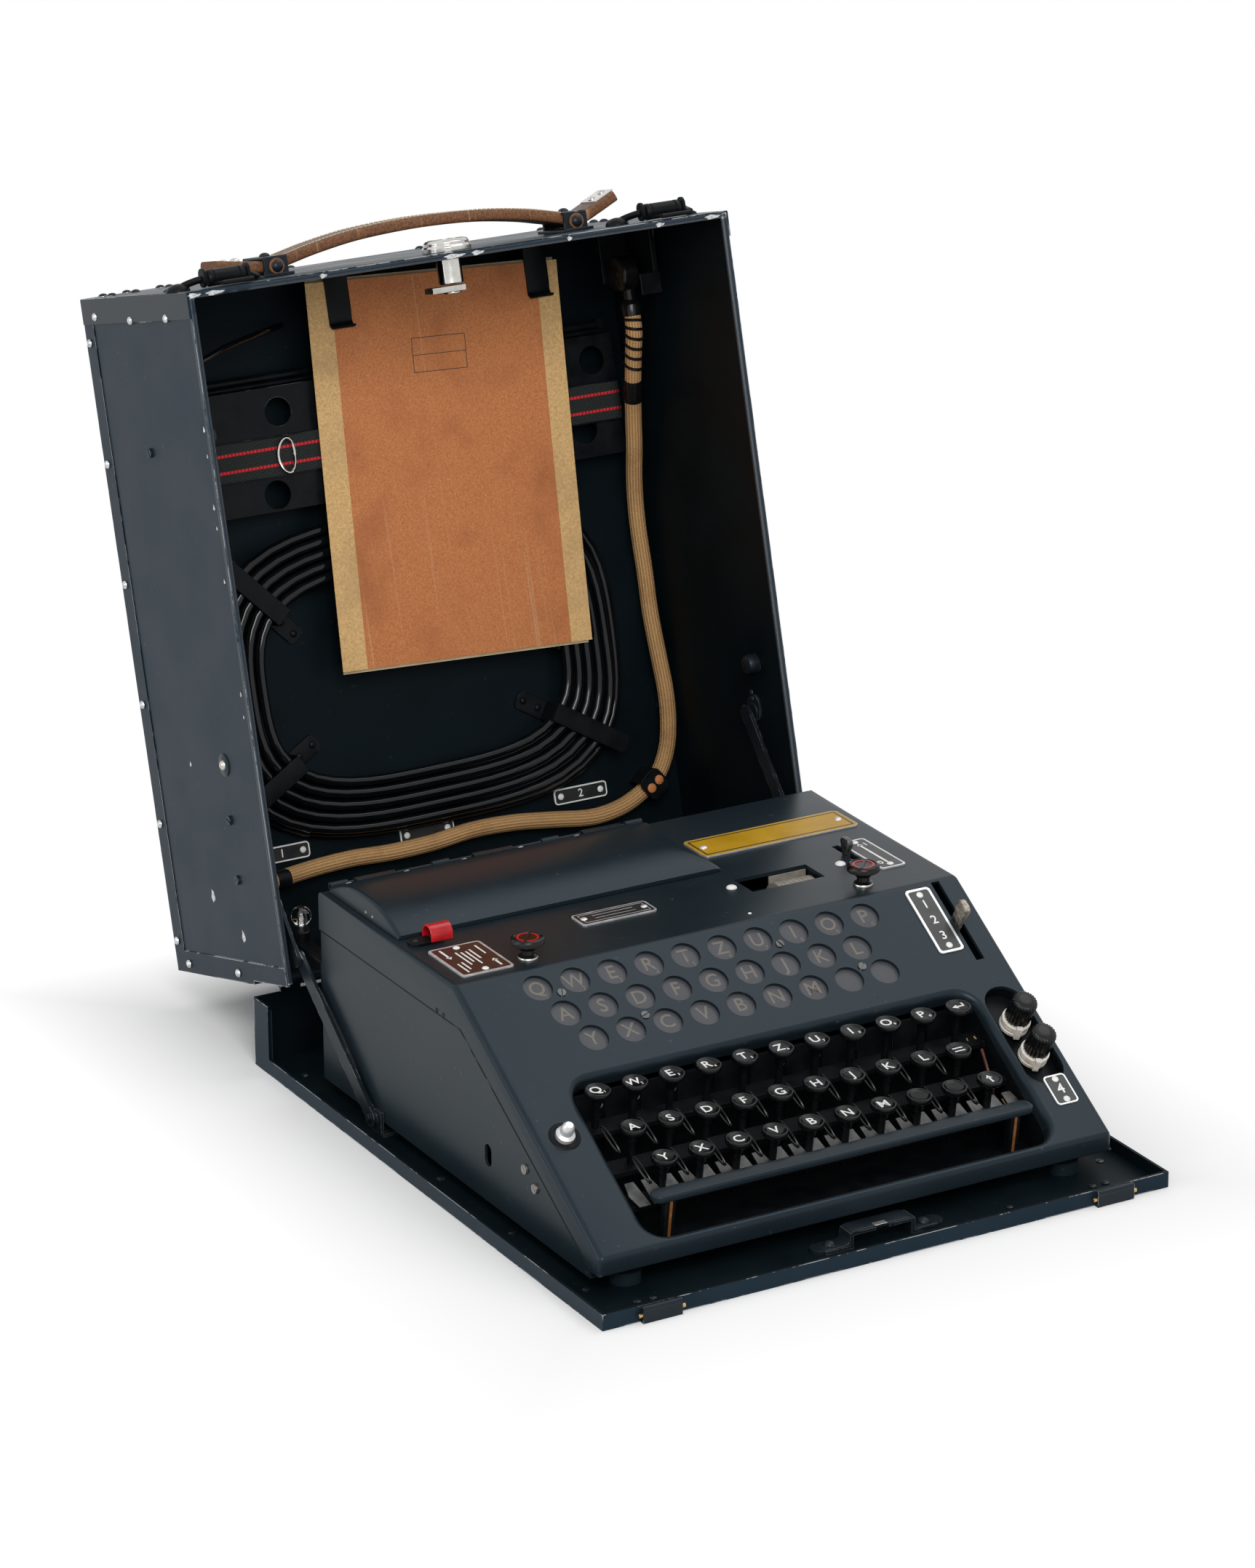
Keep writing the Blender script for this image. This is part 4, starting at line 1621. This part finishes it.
def braided_cable():
    route = smooth_route([(x / MM, BACK_IN - d / MM, u / MM) for x, d, u in CABLE_ROUTE], 6)
    cable = piece("cable_braid", tube(route, 4.75, 28).at(in_cover()), "cover", braid,
                  replaces="braided_cable",
                  angle=60)
    gland = piece("cable_gland",
                  tube([route[-1] + Vector((x, 0, 0)) for x in (9, 1)], 5.6, 24).at(in_cover()),
                  "cover", black_metal, bevel=0.6)
    relief = []
    start = route[2:16]
    turns, steps = 6, 12
    for k in range(turns * steps + 1):
        f = k / (turns * steps) * (len(start) - 2)
        i = int(f)
        p = start[i].lerp(start[i + 1], f - i)
        t = (start[i + 1] - start[i]).normalized()
        side = t.cross(Vector((0, 1, 0))).normalized()
        up = side.cross(t)
        a = math.tau * k / steps
        relief.append(p + 5.1 * (math.cos(a) * side + math.sin(a) * up))
    spring = piece("cable_spring", tube(relief, 0.85, 8).at(in_cover()), "cover", black_metal)
    sleeve = tube(route[16:21], lambda i: 5.2 + 0.3 * (i % 2), 24)
    sleeve = piece("cable_sleeve", sleeve.at(in_cover()), "cover", knob_black)
    top = stored(144, 50, 322)
    neck = lathe([(0, -4), (5.6, -4), (5.8, 2), (5.0, 4), (3.4, 5), (3.4, 12), (0, 12)], 32)
    body = lathe([(0, -7), (9, -7), (10, -6), (10, 2), (8.6, 3), (0, 3)], 40).at(move(0, 0, 20)
                                                                                 @ along("X"))
    plug = piece("cable_plug", (neck + body).at(top), "cover", knob_black, bevel=0.3,
                 angle=40)
    screw = lathe([(0, -7.6), (3, -7.6), (3.2, -7), (0, -7)], 24).at(top @ move(0, 0, 20) @ along("X"))
    screw = piece("plug_screw", screw, "cover", black_metal)
    clamp_at = stored(138, 0, 51.5) @ turn(-36.87, "Y")
    free, reach = 5.75, 14.7
    block = joined([cuboid((-6, -reach, z0), (6, 0, z1))
                    for z0, z1 in ((free, free + 1.5), (-free - 1.5, -free))])
    plate = round_rect(15, 2 * free + 4, 4.5)
    block += prism(plate, 0, 1.5).at(move(0, 1.5 - reach, 0) @ turn(90, "X"))
    eyes = joined([lathe([(0, 0), (2.7, 0), (2.7, 0.5), (1.9, 1.1), (0, 1.3)], 28).at(
        move(e, -reach, 0) @ turn(90, "X")) for e in (-3.3, 3.3)])
    piece("cable_saddle", block.at(clamp_at), "cover", black_metal, bevel=0.5,
          angle=50)
    piece("saddle_eyes", eyes.at(clamp_at), "cover", card)


braided_cable()


def booklet():
    """Pressboard cover with cloth tape down both sides, over a few leaves."""
    w, h = 156, 214
    spot = stored(34.5, 15.7, 251) @ turn(2.8, "Y")

    def sheet(t0, t1, grow, x0=-w / 2, x1=w / 2):
        """A leaf whose lower edge stands a little away from the cover's back."""
        rings = []
        for k in range(25):
            u = -h / 2 - grow + (h + 2 * grow) * k / 24
            lift = 1.6 * (1 - k / 24) ** 3
            rings.append([(x, -(t0 + lift), u) for x in (x0, x1)]
                         + [(x, -(t1 + lift), u) for x in (x1, x0)])
        return loft(rings)

    leaves = joined([sheet(0.2 + 0.55 * k, 0.5 + 0.55 * k, 1.6 - 0.5 * k, -w / 2 + 1, w / 2 - 1 - 0.3 * k)
                     for k in range(4)])
    piece("booklet_leaves", leaves.at(spot), "cover", paper)
    board = sheet(2.35, 2.85, 0.0)
    piece("booklet_board", board.at(spot), "cover", card, replaces="booklet")
    tape = sheet(2.8, 3.0, 0.1, -w / 2 - 0.2, -w / 2 + 15) + sheet(2.8, 3.0, 0.1, w / 2 - 13, w / 2 + 0.2)
    piece("booklet_tape", tape.at(spot), "cover", cloth_tape)
    lines = rule(121, 4, -3, 0.45) + frame_line(33, 19, 0.4).at(move(0, 62, 0)) + rule(33, 0, 62, 0.35)
    piece("booklet_rules", lines.at(spot @ move(0, -2.87, 0) @ turn(90, "X")), "cover", plate_black)


booklet()


# ---------- studio ----------

def looked_at(tree):
    """1 where the camera, a reflection or clear glass looks, and 0 for light on the object."""
    path = node(tree, "LightPath").outputs
    seen = calc(tree, "MAXIMUM", path["Is Camera Ray"], path["Is Glossy Ray"])
    return calc(tree, "MAXIMUM", seen, path["Is Transmission Ray"], clamp=True)


def floor():
    """Pale floor that keeps the shadow beside the object and turns plain white further out."""
    bpy.ops.mesh.primitive_plane_add(size=12, location=(0, 0, -0.0002))
    ground = bpy.context.object
    ground.name = "floor"
    made = bpy.data.materials.new("floor")
    made.use_nodes = True
    tree = made.node_tree
    shader = tree.nodes["Principled BSDF"]
    where = node(tree, "TexCoord").outputs["Object"]
    tone = mixed(tree, noise(tree, where, 3.0, 2), (0.90, 0.90, 0.90), (0.93, 0.93, 0.93))
    tree.links.new(tone, shader.inputs["Base Color"])
    shader.inputs["Roughness"].default_value = 0.9
    shader.inputs["Specular IOR Level"].default_value = 0.1
    parts = node(tree, "SeparateXYZ", {0: where}).outputs
    beside = calc(tree, "SUBTRACT", calc(tree, "ABSOLUTE", parts[0]), 0.165)
    along_it = calc(tree, "SUBTRACT", calc(tree, "ABSOLUTE", calc(tree, "SUBTRACT", parts[1], 0.05)), 0.22)
    away = spread(tree, calc(tree, "MAXIMUM", beside, along_it), 0.0, 0.085)
    white = node(tree, "Emission", {"Color": (1, 1, 1, 1), "Strength": 1.0}).outputs[0]
    out = node(tree, "MixShader",
               {0: calc(tree, "MULTIPLY", away, looked_at(tree)), 1: shader.outputs[0], 2: white})
    tree.links.new(out.outputs[0], tree.nodes["Material Output"].inputs["Surface"])
    ground.data.materials.append(made)


def area_light(name, place, size, watts, target=(0, 0.1, 0.15)):
    data = bpy.data.lights.new(name, "AREA")
    data.shape = "RECTANGLE"
    data.size, data.size_y = size
    data.energy = watts
    lamp = bpy.data.objects.new(name, data)
    lamp.location = place
    aim = Vector(target) - Vector(place)
    lamp.rotation_euler = aim.to_track_quat("-Z", "Y").to_euler()
    bpy.context.scene.collection.objects.link(lamp)
    return lamp


def studio():
    floor()
    world = bpy.data.worlds.new("studio")
    bpy.context.scene.world = world
    world.use_nodes = True
    tree = world.node_tree
    back = tree.nodes["Background"]
    ambient = 0.42
    back.inputs["Color"].default_value = (1, 1, 1, 1)
    tree.links.new(calc(tree, "MULTIPLY_ADD", looked_at(tree), 1 - ambient, ambient),
                   back.inputs["Strength"])
    area_light("key_light", (-1.4, -3.0, 2.6), (2.0, 2.0), 105)
    area_light("side_light", (-3.5, 0.3, 1.2), (1.6, 1.8), 24)
    area_light("top_light", (1.86, 0.3, 3.6), (2.4, 2.4), 30)


studio()


def camera():
    data = bpy.data.cameras.new("camera")
    data.lens = CAMERA_LENS
    data.sensor_width = 36
    data.clip_end = 50
    cam = bpy.data.objects.new("camera", data)
    a, e, roll = (math.radians(v) for v in (CAMERA_AZIMUTH, CAMERA_HEIGHT, CAMERA_ROLL))
    back = Vector((math.sin(a) * math.cos(e), -math.cos(a) * math.cos(e), math.sin(e)))
    right = Vector((math.cos(a), math.sin(a), 0))
    up = back.cross(right)
    x = right * math.cos(roll) + up * math.sin(roll)
    y = up * math.cos(roll) - right * math.sin(roll)
    turned = Matrix((x, y, back)).transposed().to_4x4()
    cam.matrix_world = Matrix.Translation(CAMERA_PLACE) @ turned
    bpy.context.scene.collection.objects.link(cam)
    bpy.context.scene.camera = cam


camera()
bpy.context.scene.view_settings.view_transform = "Standard"
